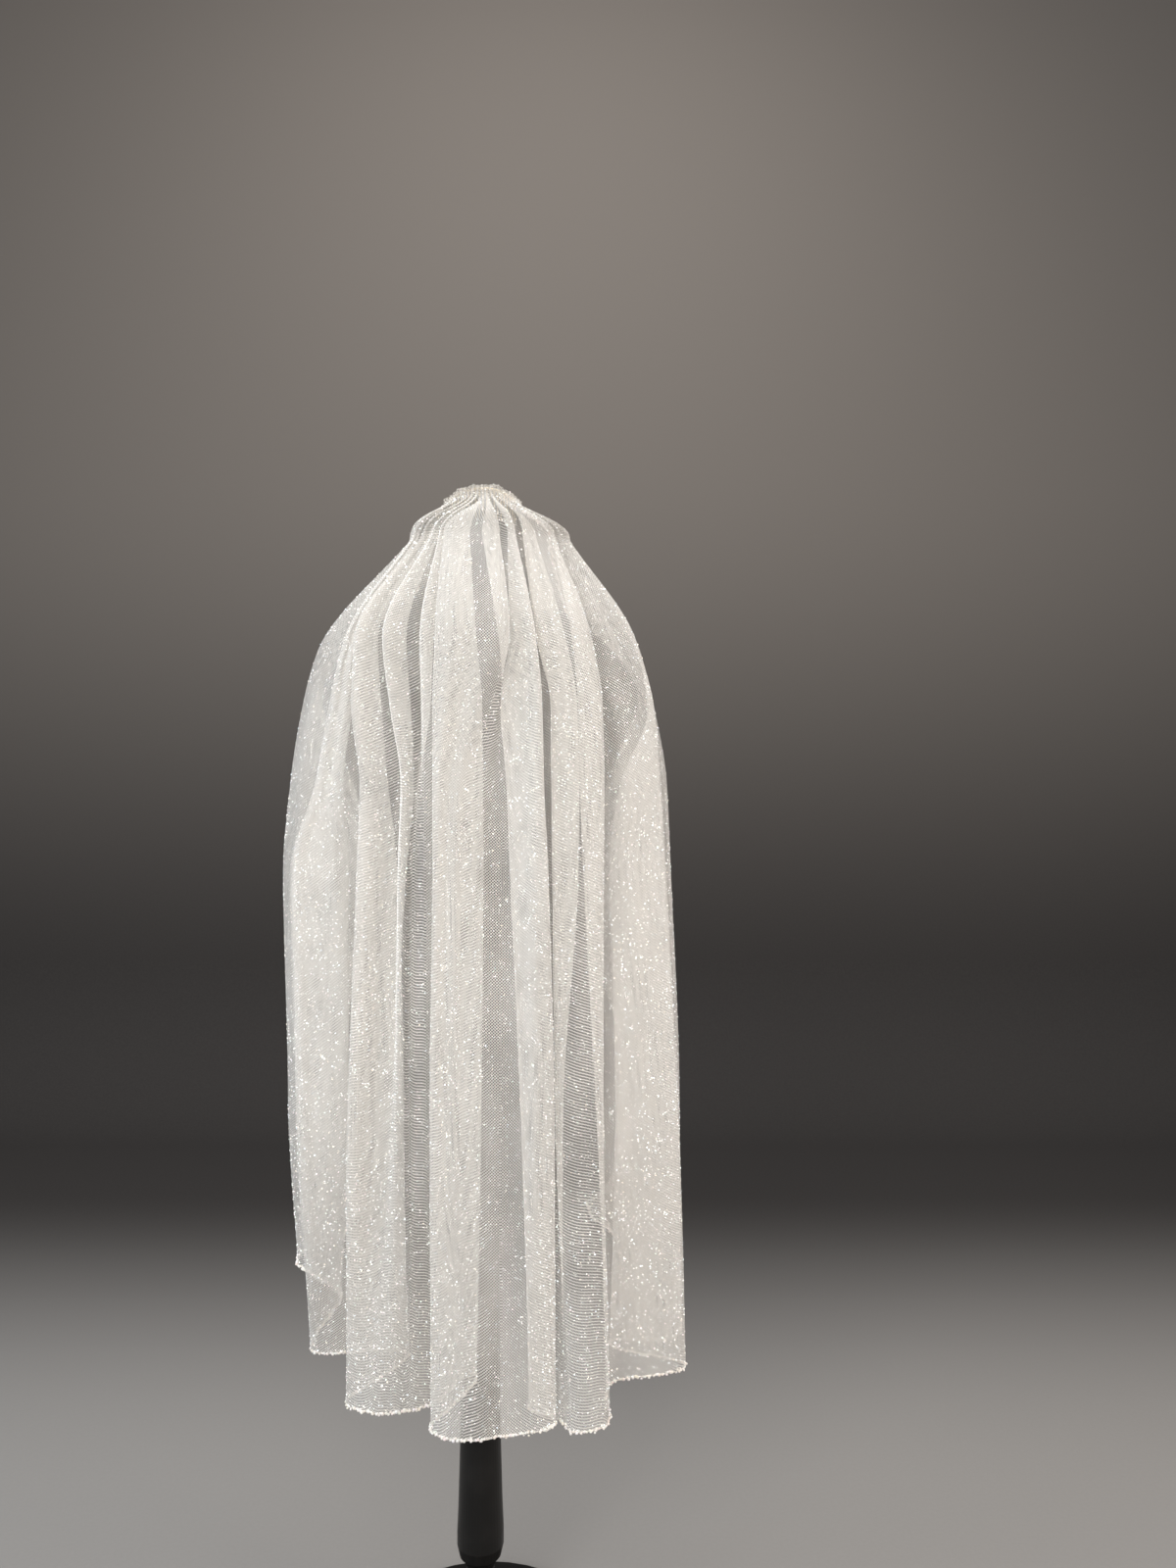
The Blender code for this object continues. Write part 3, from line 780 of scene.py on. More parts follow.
def tube_along(path: np.ndarray, radius: np.ndarray, sides: int, closed: bool = False) -> MeshArrays:
    """A round tube along a path, open paths closed by their narrow ends.

    Args:
        path: The points it follows.
        radius: Its radius at each point.
        sides: How many sides it has.
        closed: Whether the path is a ring.

    Returns:
        Its points and its quads.
    """
    ahead = np.roll(path, -1, axis=0) - np.roll(path, 1, axis=0)
    if not closed:
        ahead[0] = path[1] - path[0]
        ahead[-1] = path[-1] - path[-2]
    ahead = unit(ahead)
    up = np.where(np.abs(ahead[:, 2:3]) > 0.9, np.array([[1.0, 0.0, 0.0]]), np.array([[0.0, 0.0, 1.0]]))
    side = unit(np.cross(ahead, up))
    rise = np.cross(side, ahead)
    angle = np.arange(sides) * 2 * math.pi / sides
    ring = np.cos(angle)[None, :, None] * side[:, None, :] + np.sin(angle)[None, :, None] * rise[:, None, :]
    verts = path[:, None, :] + ring * np.asarray(radius)[:, None, None]
    count = len(path)
    turns = count if closed else count - 1
    faces = []
    for i in range(turns):
        j = (i + 1) % count
        for k in range(sides):
            m = (k + 1) % sides
            faces.append((i * sides + k, i * sides + m, j * sides + m, j * sides + k))
    return verts.reshape(-1, 3), np.array(faces)


# The veil


@dataclass
class VeilCloth:
    """The panel of tulle: a fine sheet through the fold lines, with its gathers and creases."""

    cut_width: float = 2.10
    cut_length: float = 1.15
    corner_loss: float = 0.10
    half_angle: float = math.radians(53)
    header_fall: float = 15 * MM
    comb_arch: float = 14 * MM
    comb_turn: float = math.radians(11)
    gather_radius: float = 58.9 * MM
    hem_column: float = 16 * MM
    least_columns: int = 3
    fine_columns: int = 5
    header_rows: int = 5
    nape_rows: int = 22
    hanging_rows: int = 96
    row_crowding: float = 1.35
    folds_open_by: Pairs = ((60, 0.70), (110, 0.88))  # by a line's x at the nape, as a share of the drop
    folds_lean_from: float = 0.12
    columns_per_gather: int = 6
    gathers_end: float = 50 * MM  # below the comb, where they have turned into wrinkles
    wrinkles: int = 66
    header_bumps: float = 2.0 * MM
    gather_depths: Pairs = (
        (0.0, 2.3),
        (0.012, 1.3),
        (0.030, 1.1),
        (0.080, 1.3),
        (0.160, 1.5),
        (0.260, 1.1),
        (0.390, 0.7),
        (0.590, 0.35),
        (0.840, 0.15),
        (1.080, 0.0),
    )
    crest_width: float = 1.7 * MM
    hem_ripple: float = 2.6 * MM
    hem_ripple_reach: float = 0.13
    seed: int = 41
    rows: np.ndarray = field(default_factory=lambda: np.zeros((0, 0, 3)))
    cut: np.ndarray = field(default_factory=lambda: np.zeros((0, 0, 4, 2)))
    fold: np.ndarray = field(default_factory=lambda: np.zeros((0, 0)))

    def counts(self) -> list[int]:
        """Counts the coarse columns from each fold line to the next.

        Returns:
            A count for each stretch of the cloth.
        """
        found = []
        for a, b in zip(FOLD_LINES, FOLD_LINES[1:]):
            length = math.hypot(b.hem_x - a.hem_x, b.hem_y - a.hem_y) * MM
            found.append(max(self.least_columns, math.ceil(length / self.hem_column)))
        return found

    def opening_at(self, line: FoldLine, angle: float, z: float) -> np.ndarray:
        """Where a fold line is in plan above the nape.

        Args:
            line: The fold line.
            angle: The angle at which it leaves the comb.
            z: The height.

        Returns:
            Its x and y.
        """
        foot = Level.COMB_FOOT - self.comb_arch * (angle / self.half_angle) ** 2
        nape_radius = math.hypot(line.nape_x, line.nape_y) * MM
        nape_angle = math.atan2(line.nape_x, -line.nape_y)
        drop = (foot - z) / (foot - Level.NAPE)
        opened = ease(drop / read_table(self.folds_open_by, line.nape_x))
        radius = self.gather_radius + (nape_radius - self.gather_radius) * opened
        lean = ease((drop - self.folds_lean_from) / (1 - self.folds_lean_from))
        turned = angle + self.comb_turn
        turned += (nape_angle - turned) * lean
        return np.array([radius * math.sin(turned), -radius * math.cos(turned)])

    def line_at(self, line: FoldLine, angle: float, z: float) -> np.ndarray:
        """Where a fold line is in plan at a height.

        Args:
            line: The fold line.
            angle: The angle at which it leaves the comb.
            z: The height.

        Returns:
            Its x and y.
        """
        if z > Level.NAPE:
            return self.opening_at(line, angle, z)
        hem_z = line.hem_z * MM
        plane = {level: read_table(BACK_PLANE, level) for level in (Level.SHOULDER, Level.RIB, Level.HIP)}
        x = smooth_curve(
            (hem_z, Level.HIP, Level.RIB, Level.BUST, Level.BLADE, Level.SHOULDER, Level.NAPE),
            (line.hem_x, line.hip_x, line.rib_x, line.bust_x, line.blade_x, line.shoulder_x, line.nape_x),
            z,
        )
        y = smooth_curve(
            (hem_z, Level.HIP, Level.RIB, Level.SHOULDER, Level.NAPE),
            (
                line.hem_y * MM,
                plane[Level.HIP] - line.low_off * MM,
                plane[Level.RIB] - (line.top_off + line.low_off) / 2 * MM,
                plane[Level.SHOULDER] - line.top_off * MM,
                line.nape_y * MM,
            ),
            z,
        )
        return np.array([x * MM, y])

    def comb_shares(self, counts: list[int]) -> np.ndarray:
        """Where each fold line leaves the comb, from -1 at its left end to 1 at its right end."""
        return np.concatenate([[0], np.cumsum(counts)]) / sum(counts) * 2 - 1

    def plan_row(self, heights: list[float], counts: list[int]) -> tuple[np.ndarray, np.ndarray, np.ndarray]:
        """One row of the cloth before its gathers.

        Args:
            heights: Each fold line's height on this row.
            counts: The coarse columns from each fold line to the next.

        Returns:
            The row's points, how near each is to a sharp turn and how near to its very crest, 0 to 1.
        """
        angles = self.comb_shares(counts) * self.half_angle
        points = np.array([self.line_at(*places) for places in zip(FOLD_LINES, angles, heights)])
        steps = unit(np.diff(points, axis=0))
        before = np.vstack([steps[:1], steps])
        after = np.vstack([steps, steps[-1:]])
        directions = unit(before + after)
        turns = (1 - np.einsum("ij,ij->i", before, after)) / 2
        row, sharp, crest = [], [], []
        for i, coarse in enumerate(counts):
            count = coarse * self.fine_columns
            start, end = points[i], points[i + 1]
            length = np.linalg.norm(end - start)
            radius = read_table(FOLD_RADIUS, (heights[i] + heights[i + 1]) / 2)
            round_size = min(length, math.sqrt(6 * length * radius))
            size = [length + (round_size - length) * turns[i + k] for k in (0, 1)]
            last = i == len(counts) - 1
            t = (np.arange(count + last) / count)[:, None]
            place = (
                (1 + 2 * t) * (1 - t) ** 2 * start
                + t * (1 - t) ** 2 * directions[i] * size[0]
                + t * t * (3 - 2 * t) * end
                - t * t * (1 - t) * directions[i + 1] * size[1]
            )
            blend = t * t * (3 - 2 * t)
            z = heights[i] + (heights[i + 1] - heights[i]) * blend
            row.append(np.hstack([place, z]))
            near = np.exp(-t * 9) * turns[i] + np.exp(-(1 - t) * 9) * turns[i + 1]
            sharp.append(near[:, 0])
            off = t * length / self.crest_width, (1 - t) * length / self.crest_width
            line = np.exp(-off[0] ** 2) * turns[i] + np.exp(-off[1] ** 2) * turns[i + 1]
            crest.append(line[:, 0])
        return np.vstack(row), np.clip(np.concatenate(sharp), 0, 1), np.clip(np.concatenate(crest), 0, 1)

    def row_heights(self) -> list[list[float]]:
        """Lists the rows' heights from the comb down.

        Returns:
            For each row, a height for each fold line.
        """
        arch = self.comb_shares(self.counts()) ** 2
        top = Level.HEADER_TOP - self.header_fall * arch
        foot = Level.COMB_FOOT - self.comb_arch * arch
        rows = [list(top + (foot - top) * j / self.header_rows) for j in range(self.header_rows)]
        rows += [list(foot + (Level.SPREAD - foot) * j / self.nape_rows) for j in range(self.nape_rows)]
        for j in range(self.hanging_rows + 1):
            drop = (j / self.hanging_rows) ** self.row_crowding
            rows.append([Level.SPREAD + (line.hem_z * MM - Level.SPREAD) * drop for line in FOLD_LINES])
        return rows

    def gather_shift(self, sharp: np.ndarray) -> np.ndarray:
        """How far the gathers move each point along its row's normal.

        Args:
            sharp: How close each point of each row is to a sharp turn.

        Returns:
            The shift in metres, a row for each row of the cloth.
        """
        rng = np.random.default_rng(self.seed)
        rows, columns = sharp.shape
        share = np.linspace(0, 1, columns)
        gathers = (columns - 1) / self.fine_columns / self.columns_per_gather
        uneven = 0.8 + 0.2 * smooth_noise(share, 1.3 / gathers, rng)
        gathered = np.cos(2 * math.pi * gathers * share) * uneven
        wander = smooth_noise(share, 0.05, rng) * 0.9
        strength = 0.72 + 0.28 * smooth_noise(share, 0.8 / self.wrinkles, rng)
        finer = smooth_noise(share, 0.4 / self.wrinkles, rng)
        foot = Level.COMB_FOOT - self.comb_arch * (share * 2 - 1) ** 2
        shift = np.zeros_like(sharp)
        for j in range(rows):
            below = foot - self.rows[j, :, 2]
            depth = np.interp(below, *zip(*self.gather_depths)) * MM
            loose = np.clip(below / self.gathers_end, 0, 1)
            wrinkled = np.cos(2 * math.pi * self.wrinkles * share + wander * 3.0) * strength + 0.45 * finer
            wave = gathered * (1 - loose) + wrinkled * loose
            shift[j] = depth * wave * (1 - 0.8 * sharp[j] * loose)
        return shift

    def crease_shift(self, counts: list[int], share_down: np.ndarray) -> np.ndarray:
        """How far the creases move each point.

        Args:
            counts: The coarse columns from each fold line to the next.
            share_down: Each point's share of the way down the cloth.

        Returns:
            The shift in metres, a row for each row of the cloth.
        """
        shift = np.zeros(share_down.shape)
        starts = np.concatenate([[0], np.cumsum(counts)]) * self.fine_columns
        names = [line.name for line in FOLD_LINES]
        for crease in CREASES:
            k = names.index(crease.after)
            part = slice(starts[k], starts[k + 1] + 1)
            place = np.linspace(0, 1, starts[k + 1] + 1 - starts[k])
            for j in range(len(shift)):
                row = self.rows[j, part]
                z = row[:, 2]
                reach = (z - crease.foot_z) / (crease.top_z - crease.foot_z)
                if reach.max() <= 0 or reach.min() >= 1:
                    continue
                length = np.linalg.norm(np.diff(row[:, :2], axis=0), axis=1).sum()
                middle = crease.along + crease.lean * (1 - reach)
                off = (place - middle) * length / (crease.width_mm * MM)
                fade = np.sin(np.clip(reach, 0, 1) * math.pi) ** 0.7
                ends = np.sin(place * math.pi) ** 0.5
                shift[j, part] += crease.depth_mm * MM * np.exp(-off * off) * fade * ends
        return shift

    def hem_shift(self, share_down: np.ndarray) -> np.ndarray:
        """How far the hem's small ripples move each point.

        Args:
            share_down: Each point's share of the way down the cloth.

        Returns:
            The shift in metres, a row for each row of the cloth.
        """
        rng = np.random.default_rng(self.seed + 1)
        columns = share_down.shape[1]
        along = np.linspace(0, self.cut_width, columns)
        ripple = 0.7 * smooth_noise(along, 0.021, rng) + 0.3 * smooth_noise(along, 0.009, rng)
        above = (1 - share_down) * self.cut_length
        near = np.clip(1 - above / self.hem_ripple_reach, 0, 1)
        return self.hem_ripple * ripple[None, :] * near**1.6

    def bump_header(self) -> None:
        """Makes the gathers' top edge a little uneven, fading down to the comb's foot."""
        rng = np.random.default_rng(self.seed + 2)
        share = np.linspace(0, 1, self.rows.shape[1])
        bumps = self.header_bumps * smooth_noise(share, 0.06, rng)
        for j in range(self.header_rows):
            self.rows[j, :, 2] += bumps * (1 - j / self.header_rows)

    def place_in_cut(self, counts: list[int], down: np.ndarray) -> np.ndarray:
        """Places every face's corners in the cut cloth, at true size within each stretch between fold lines.

        Args:
            counts: The coarse columns from each fold line to the next.
            down: Each point's distance from the cloth's top edge.

        Returns:
            For each face, the two places of its corners: four rows of across and down.
        """
        step = np.linalg.norm(np.diff(self.rows, axis=1), axis=2)
        reach = np.hstack([np.zeros((len(step), 1)), np.cumsum(step, axis=1)])
        starts = np.concatenate([[0], np.cumsum(counts)]) * self.fine_columns
        stretch = np.repeat(np.arange(len(counts)), np.array(counts) * self.fine_columns)
        middle = (reach[:, starts[:-1]] + reach[:, starts[1:]]) / 2
        flat_middle = (starts[:-1] + starts[1:]) / 2 / starts[-1] * self.cut_width
        shift = (flat_middle - middle)[:, stretch]
        left, right = reach[:, :-1] + shift, reach[:, 1:] + shift
        across = np.stack([left[:-1], left[1:], right[1:], right[:-1]], axis=2)
        drop = np.stack([down[:-1, :-1], down[1:, :-1], down[1:, 1:], down[:-1, 1:]], axis=2)
        return np.stack([across, drop], axis=3)

    def lay_out(self) -> None:
        """Works out every point of the cloth, its place in the cut and where its folds are sharp."""
        counts = self.counts()
        laid = [self.plan_row(heights, counts) for heights in self.row_heights()]
        self.rows = np.array([points for points, _, _ in laid])
        sharp = np.array([near for _, near, _ in laid])
        step = np.linalg.norm(np.diff(self.rows, axis=0), axis=2)
        down = np.vstack([np.zeros(self.rows.shape[1]), np.cumsum(step, axis=0)])
        share_down = down / down[-1]
        along = np.gradient(self.rows[:, :, :2], axis=1)
        tangent = unit(along)
        normal = np.stack([tangent[:, :, 1], -tangent[:, :, 0]], axis=2)
        shift = self.gather_shift(sharp) + self.crease_shift(counts, share_down) + self.hem_shift(share_down)
        self.rows[:, :, :2] += normal * shift[:, :, None]
        self.bump_header()
        self.cut = self.place_in_cut(counts, down)
        self.fold = np.array([crest for _, _, crest in laid])

    def normals(self) -> np.ndarray:
        """Finds the cloth's normals.

        Returns:
            One at each point, towards the outside.
        """
        across = np.gradient(self.rows, axis=1)
        down = np.gradient(self.rows, axis=0)
        return unit(np.cross(across, down)) * -1.0

    def build(self, finish: TulleFinish) -> bpy.types.Object:
        """Builds the sheet.

        Args:
            finish: The net's finish.

        Returns:
            The cloth.
        """
        self.lay_out()
        rows, columns = self.rows.shape[:2]
        index = np.arange(rows * columns).reshape(rows, columns)
        corners = (index[:-1, :-1], index[1:, :-1], index[1:, 1:], index[:-1, 1:])
        faces = np.stack(corners, axis=2).reshape(-1, 4)
        cloth = mesh_object("veil_tulle", self.rows.reshape(-1, 3), faces, smooth=True)
        layer = cloth.data.uv_layers.new(name="cut")
        layer.data.foreach_set("uv", self.cut.astype(np.float32).ravel())
        held = cloth.data.attributes.new("fold", "FLOAT", "POINT")
        held.data.foreach_set("value", self.fold.astype(np.float32).ravel())
        cloth.data.materials.append(finish.material())
        return cloth

    def edge_path(self) -> np.ndarray:
        """Follows the cloth's free edge.

        Returns:
            Its points, from the comb's foot down one side, along the hem and up the other side.
        """
        first = self.header_rows + 2
        left = self.rows[first:, 0]
        hem = self.rows[-1, 1:-1]
        right = self.rows[first:, -1][::-1]
        return np.vstack([left, hem, right])

    def area(self) -> float:
        """The area of the cut, without its rounded corners."""
        return self.cut_width * self.cut_length - self.corner_loss


def along_path(path: np.ndarray, places: np.ndarray) -> np.ndarray:
    """Points at distances along a path.

    Args:
        path: The path's points.
        places: Distances from its start.

    Returns:
        One point for each distance.
    """
    step = np.linalg.norm(np.diff(path, axis=0), axis=1)
    reach = np.concatenate([[0], np.cumsum(step)])
    return np.column_stack([np.interp(places, reach, path[:, k]) for k in range(3)])


@dataclass
class BeadedEdge:
    """The uneven row of small beads sewn along the veil's free edge."""

    pitch: float = 2.0 * MM
    small: float = 1.15 * MM
    large: float = 2.25 * MM
    scatter: float = 0.85 * MM
    thread_radius: float = 0.55 * MM
    seed: int = 7
    tints: tuple[Color, ...] = (
        (0.95, 0.92, 0.87),
        (0.97, 0.88, 0.81),
        (0.98, 0.96, 0.93),
        (0.93, 0.88, 0.83),
    )

    def build(self, cloth: VeilCloth, finish: BeadFinish) -> bpy.types.Object:
        """Builds the beads as one mesh.

        Args:
            cloth: The cloth that they are sewn to.
            finish: Their finish.

        Returns:
            The beading.
        """
        rng = np.random.default_rng(self.seed)
        path = cloth.edge_path()
        length = np.linalg.norm(np.diff(path, axis=0), axis=1).sum()
        gaps = rng.uniform(0.7, 1.3, int(length / self.pitch)) * self.pitch
        places = np.cumsum(gaps)
        places = places[places < length]
        centres = along_path(path, places) + rng.normal(0, self.scatter, (len(places), 3))
        radius = self.small + (self.large - self.small) * rng.beta(2.0, 2.0, len(places))
        squash = rng.uniform(0.8, 1.15, (len(places), 3)) * radius[:, None]
        spin = rng.normal(size=(len(places), 3, 3))
        turned = np.linalg.qr(spin)[0]
        frames = squash[:, :, None] * turned
        verts, faces = repeated(*round_bead(), frames, centres)
        beads = mesh_object("edge_beads", verts, faces, smooth=True)
        picked = np.array(self.tints)[rng.integers(0, len(self.tints), len(places))]
        picked = np.clip(picked + rng.normal(0, 0.02, picked.shape), 0, 1)
        tint_points(beads, np.repeat(picked, len(round_bead()[0]), axis=0))
        beads.data.materials.append(finish.material())
        return beads

    def build_cord(self, cloth: VeilCloth, finish: ThreadFinish) -> bpy.types.Object:
        """Builds the rolled edge that the beads are sewn through.

        Args:
            cloth: The cloth.
            finish: The thread's finish.

        Returns:
            The rolled edge.
        """
        path = cloth.edge_path()
        length = np.linalg.norm(np.diff(path, axis=0), axis=1).sum()
        places = np.linspace(0, length, int(length / (4 * MM)))
        radius = np.full(len(places), self.thread_radius)
        radius[[0, -1]] = 0.05 * MM
        verts, faces = tube_along(along_path(path, places), radius, 6)
        cord = mesh_object("rolled_edge", verts, faces, smooth=True)
        cord.data.materials.append(finish.material())
        return cord


@dataclass
class GlitterGrains:
    """Foil grains stuck all over the net, more of them towards the hem, in a few pieces."""

    pieces: int = 3
    count: int = 24000
    sides: int = 4
    small: float = 0.38 * MM
    large: float = 1.04 * MM
    thickness: float = 0.12 * MM
    lift: float = 0.25 * MM
    tilt: float = 0.80
    dimmest_painted_sparkle: float = 0.12
    seed: int = 19
    tints: tuple[Color, ...] = (
        (0.98, 0.97, 0.95),
        (0.98, 0.97, 0.95),
        (0.98, 0.97, 0.95),
        (1.00, 0.86, 0.90),
        (0.84, 0.92, 1.00),
        (0.88, 1.00, 0.92),
        (1.00, 0.92, 0.80),
    )

    def grain(self) -> MeshArrays:
        """Makes a flat many-sided grain of radius 1.

        Returns:
            Its points and triangles.
        """
        flat = self.thickness / self.large
        turn = np.arange(self.sides) * 2 * math.pi / self.sides
        rim = np.column_stack([np.cos(turn), np.sin(turn), np.zeros(self.sides)])
        verts = np.vstack([rim, (0, 0, flat), (0, 0, -flat)])
        ahead = [(k + 1) % self.sides for k in range(self.sides)]
        faces = [(k, m, self.sides) for k, m in enumerate(ahead)]
        faces += [(m, k, self.sides + 1) for k, m in enumerate(ahead)]
        return verts, np.array(faces)

    def build(self, cloth: VeilCloth, finish: GlitterFinish) -> list[bpy.types.Object]:
        """Builds all the grains.

        Args:
            cloth: The cloth that they are on.
            finish: Their finish.

        Returns:
            The pieces, each a mesh of many grains.
        """
        foil = finish.material()
        return [self.build_piece(cloth, foil, number) for number in range(1, self.pieces + 1)]

    def build_piece(self, cloth: VeilCloth, foil: bpy.types.Material, number: int) -> bpy.types.Object:
        """Builds one piece of the grains.

        Args:
            cloth: The cloth that they are on.
            foil: Their material.
            number: The piece's number.

        Returns:
            The piece.
        """
        rng = np.random.default_rng(self.seed + number)
        rows, columns = cloth.rows.shape[:2]
        side = np.linalg.norm(np.diff(cloth.rows, axis=1)[:-1], axis=2)
        drop = np.linalg.norm(np.diff(cloth.rows, axis=0)[:, :-1], axis=2)
        low = np.linspace(0.75, 1.25, rows - 1)[:, None]
        weight = (side * drop * low).ravel()
        cell = rng.choice(weight.size, self.count, p=weight / weight.sum())
        j, i = np.divmod(cell, columns - 1)
        s, t = rng.uniform(0, 1, (2, self.count))[:, :, None]
        corners = cloth.rows
        place = (
            corners[j, i] * (1 - s) * (1 - t)
            + corners[j, i + 1] * s * (1 - t)
            + corners[j + 1, i] * (1 - s) * t
            + corners[j + 1, i + 1] * s * t
        )
        outward = cloth.normals()[j, i]
        face = np.where(rng.uniform(size=self.count) < 0.65, 1.0, -1.0)[:, None]
        place = place + outward * face * self.lift
        lean = unit(outward + rng.normal(0, self.tilt, (self.count, 3)))
        first = unit(np.cross(lean, rng.normal(size=(self.count, 3))))
        second = np.cross(lean, first)
        radius = (self.small + (self.large - self.small) * rng.beta(1.3, 2.6, self.count))[:, None]
        frames = np.stack([first * radius, second * radius, lean * radius], axis=1)
        verts, faces = repeated(*self.grain(), frames, place)
        grains = mesh_object(f"glitter_grains_{number}", verts, faces, smooth=False)
        picked = np.array(self.tints)[rng.integers(0, len(self.tints), self.count)]
        # Painted sparkle: each grain's tint, and with it its painted glow, is dimmed by a random share, so
        # that some grains shine and others stay dim.
        picked = picked * (self.dimmest_painted_sparkle + (1 - self.dimmest_painted_sparkle) * rng.beta(0.7, 1.8, self.count))[:, None]
        tint_points(grains, np.repeat(picked, self.sides + 2, axis=0))
        grains.data.materials.append(foil)
        return grains


@dataclass
class CombSewing:
    """The gathering threads through the veil's header and the whip stitches round the comb's spine."""

    spine_radius: float = 1.5 * MM
    spine_centre: float = 53.8 * MM
    spine_z: float = 1.458
    comb_half_angle: float = math.radians(47)
    comb_arch: float = 14 * MM
    comb_turn: float = math.radians(11)
    gathered_half_angle: float = math.radians(53)
    whips: int = 40
    thread_radius: float = 0.28 * MM
    loop_offset: float = 0.5 * MM  # out from the spine's middle, towards the cloth
    loop_room: float = 0.75 * MM  # beyond the spine, so that the loop takes in a gather
    loop_play: float = 0.1 * MM
    loop_lean: float = 0.03
    ring_points: int = 14
    running_rows: tuple[int, ...] = (2, 4)
    stitch_lift: float = 0.2 * MM
    stitch_wander: float = 0.12 * MM
    stitch_points: int = 5
    stitch_pitch: int = 7
    stitch_taper: tuple[float, ...] = (0.1, 0.8, 1.0, 0.8, 0.1)
    seed: int = 3

    def whip(self, angle: float, lean: float) -> np.ndarray:
        """One loop of thread round the spine and through the inner crest of a gather.

        Args:
            angle: Where it is round the neck.
            lean: How far it leans over, in radians.

        Returns:
            The points of its ring.
        """
        turn = np.arange(self.ring_points) / self.ring_points * 2 * math.pi
        out = self.spine_centre + self.loop_offset + np.cos(turn) * (self.spine_radius + self.loop_room)
        up = np.sin(turn) * (self.spine_radius + self.thread_radius + self.loop_play)
        at = angle + self.comb_turn + lean * np.sin(turn) * self.loop_lean
        middle = self.spine_z - self.comb_arch * (angle / self.gathered_half_angle) ** 2
        return np.column_stack([out * np.sin(at), -out * np.cos(at), middle + up])

    def build(self, cloth: VeilCloth, finish: ThreadFinish) -> bpy.types.Object:
        """Builds all the stitches as one mesh.

        Args:
            cloth: The cloth that they gather.
            finish: The thread's finish.

        Returns:
            The stitches.
        """
        rng = np.random.default_rng(self.seed)
        verts, faces, total = [], [], 0
        paths = []
        for k in range(self.whips):
            angle = ((k + 0.5) / self.whips * 2 - 1) * self.comb_half_angle
            ring = self.whip(angle, rng.uniform(0.4, 1.0))
            paths.append((ring, np.full(len(ring), self.thread_radius), True))
        outward = cloth.normals()
        for j in self.running_rows:
            line = cloth.rows[j] + outward[j] * self.stitch_lift
            line[:, 2] += rng.normal(0, self.stitch_wander, len(line))
            for start in range(2, len(line) - self.stitch_points - 1, self.stitch_pitch):
                stitch = line[start : start + self.stitch_points]
                paths.append((stitch, np.array(self.stitch_taper) * self.thread_radius, False))
        for path, radius, closed in paths:
            made, quads = tube_along(path, radius, 6, closed)
            verts.append(made)
            faces.append(quads + total)
            total += len(made)
        sewing = mesh_object("comb_stitches", np.vstack(verts), np.vstack(faces), smooth=True)
        sewing.data.materials.append(finish.material())
        return sewing


@dataclass
class Veil:
    """The whole veil: its cloth, beaded edge, glitter and sewing."""

    cloth: VeilCloth = field(default_factory=VeilCloth)
    edge: BeadedEdge = field(default_factory=BeadedEdge)
    glitter: GlitterGrains = field(default_factory=GlitterGrains)
    sewing: CombSewing = field(default_factory=CombSewing)

    def build(self) -> None:
        sheet = self.cloth.build(TulleFinish())
        trims = [
            self.edge.build(self.cloth, BeadFinish()),
            self.edge.build_cord(self.cloth, ThreadFinish()),
            *self.glitter.build(self.cloth, GlitterFinish()),
            self.sewing.build(self.cloth, ThreadFinish()),
        ]
        for piece in (sheet, *trims):
            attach(piece, ROOT)
            LOG.info("%s: %d faces", piece.name, len(piece.data.polygons))
        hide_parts("veil_panel")
        self.cloth.area()


@dataclass
class Stand:
    """The dress form, pole, foot and comb, which keep their solids and get their finishes here."""

    def dress(self) -> None:
        """Gives each solid that shows its finish."""
        finishes = {
            "dress_form": JerseyFinish().material(),
            "stand_pole": PaintFinish().material("pole_paint"),
            "stand_base": PaintFinish().material("foot_paint"),
            "hair_comb": CombFinish().material(),
        }
        for node, material in finishes.items():
            solid = bpy.data.objects[node]
            for slot in solid.material_slots:
                slot.material = material
            LOG.info("%s dressed", node)


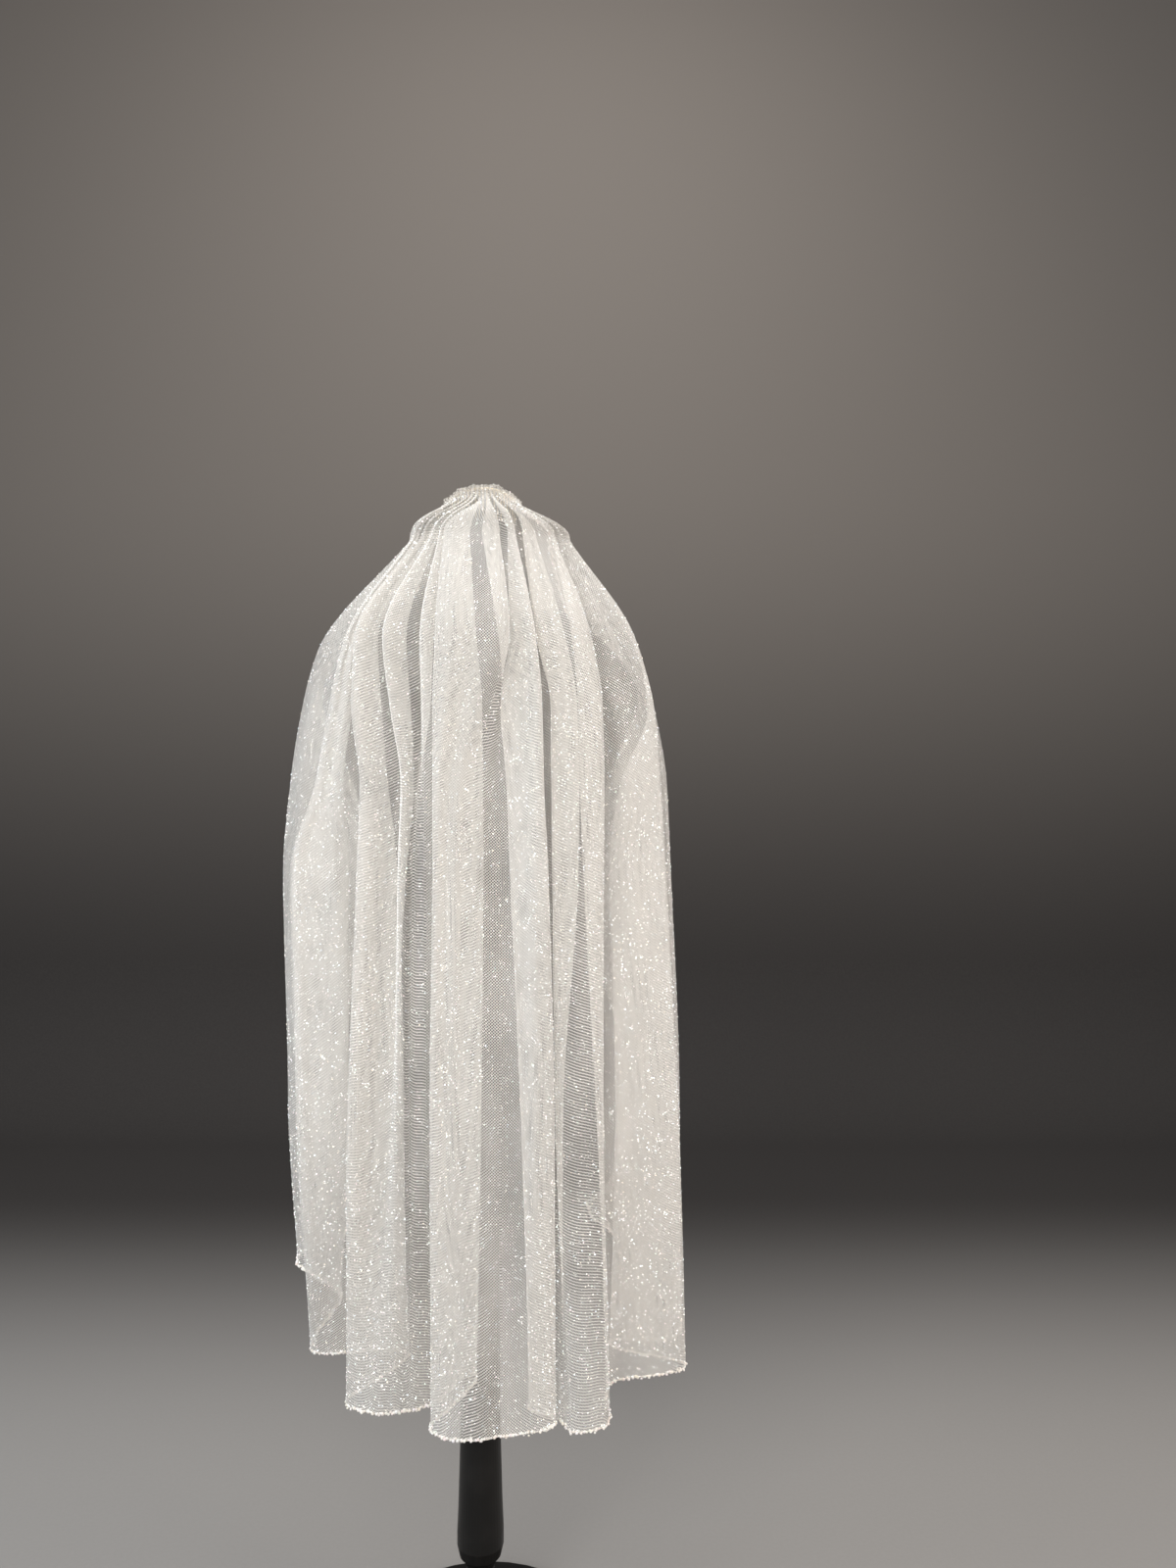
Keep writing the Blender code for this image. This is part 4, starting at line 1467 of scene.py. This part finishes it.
@dataclass
class Studio:
    """A plain pale floor, a plain backdrop, soft lights and the camera at the photograph's viewing angle."""

    camera_at: tuple[float, float, float] = (0.135, -1.48, 1.10)
    focal_mm: float = 27.04
    wall_y: float = 2.6
    half_width: float = 5.0
    front_y: float = -4.0
    curve: float = 0.5
    curve_steps: int = 12
    wall_height: float = 4.0
    clearance: float = 0.4 * MM  # the floor lies this far under the foot

    def stage(self) -> None:
        """Builds the floor and the backdrop in one sweep."""
        profile = [(self.front_y, 0.0), (self.wall_y - self.curve, 0.0)]
        for k in range(1, self.curve_steps + 1):
            turn = k / self.curve_steps * math.pi / 2
            back = self.curve * (1 - math.sin(turn))
            profile.append((self.wall_y - back, self.curve * (1 - math.cos(turn))))
        profile.append((self.wall_y, self.wall_height))
        sides = (-self.half_width, self.half_width)
        verts = np.array([(x, y, z - self.clearance) for y, z in profile for x in sides])
        faces = np.array([(2 * k, 2 * k + 1, 2 * k + 3, 2 * k + 2) for k in range(len(profile) - 1)])
        sweep = mesh_object("studio_sweep", verts, faces, smooth=True)
        sweep.data.materials.append(PaperFinish().material())

    def light(self, name: str, at: Color, aim: Color, size: float, power: float, color: Color) -> None:
        """Adds a soft area light.

        Args:
            name: Its name.
            at: Where it is.
            aim: The point that it faces.
            size: Its side, in metres.
            power: Its power, in watts.
            color: Its colour.
        """
        lamp = bpy.data.lights.new(name, "AREA")
        lamp.shape = "SQUARE"
        lamp.size = size
        lamp.energy = power
        lamp.color = color
        made = bpy.data.objects.new(name, lamp)
        bpy.context.scene.collection.objects.link(made)
        made.location = at
        way = np.array(aim) - np.array(at)
        flat = math.hypot(way[0], way[1])
        made.rotation_euler = (math.atan2(flat, -way[2]), 0.0, math.atan2(-way[0], way[1]))

    def lights(self) -> None:
        """Adds the lights and the even light all round."""
        middle = (0.0, 0.0, 0.95)
        self.light("key", (-0.5, -2.8, 2.4), middle, 1.8, 64, (1.0, 0.97, 0.93))
        self.light("cool_side", (-2.4, -1.0, 1.4), middle, 1.4, 24, (0.80, 0.90, 1.0))
        self.light("warm_side", (2.4, -0.9, 1.3), middle, 1.4, 25, (1.0, 0.89, 0.80))
        self.light("over", (0.2, 0.2, 4.2), middle, 2.2, 45, (1.0, 0.99, 0.97))
        self.light("wall_wash", (0.0, 0.7, 3.7), (0.0, 2.6, 1.9), 1.6, 34, (1.0, 0.95, 0.90))
        world = bpy.data.worlds.new("studio_air")
        world.use_nodes = True
        air = world.node_tree.nodes["Background"]
        air.inputs["Color"].default_value = (0.93, 0.96, 1.0, 1.0)
        air.inputs["Strength"].default_value = 0.35
        bpy.context.scene.world = world
        bpy.context.scene.view_settings.view_transform = "Standard"

    def camera(self) -> None:
        """Puts the camera level behind the veil."""
        lens = bpy.data.cameras.new("view")
        lens.lens = self.focal_mm
        lens.sensor_width = 36.0
        made = bpy.data.objects.new("view", lens)
        made.location = self.camera_at
        made.rotation_euler = (math.pi / 2, 0.0, 0.0)
        bpy.context.scene.collection.objects.link(made)
        bpy.context.scene.camera = made

    def set_up(self) -> None:
        """Sets the stage, the lights and the camera."""
        self.stage()
        self.lights()
        self.camera()


def main() -> None:
    """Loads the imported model, dresses it and sets the studio round it."""
    logging.basicConfig(level=logging.INFO, format="%(message)s")
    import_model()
    Studio().set_up()
    Stand().dress()
    Veil().build()


if __name__ == "__main__":
    main()
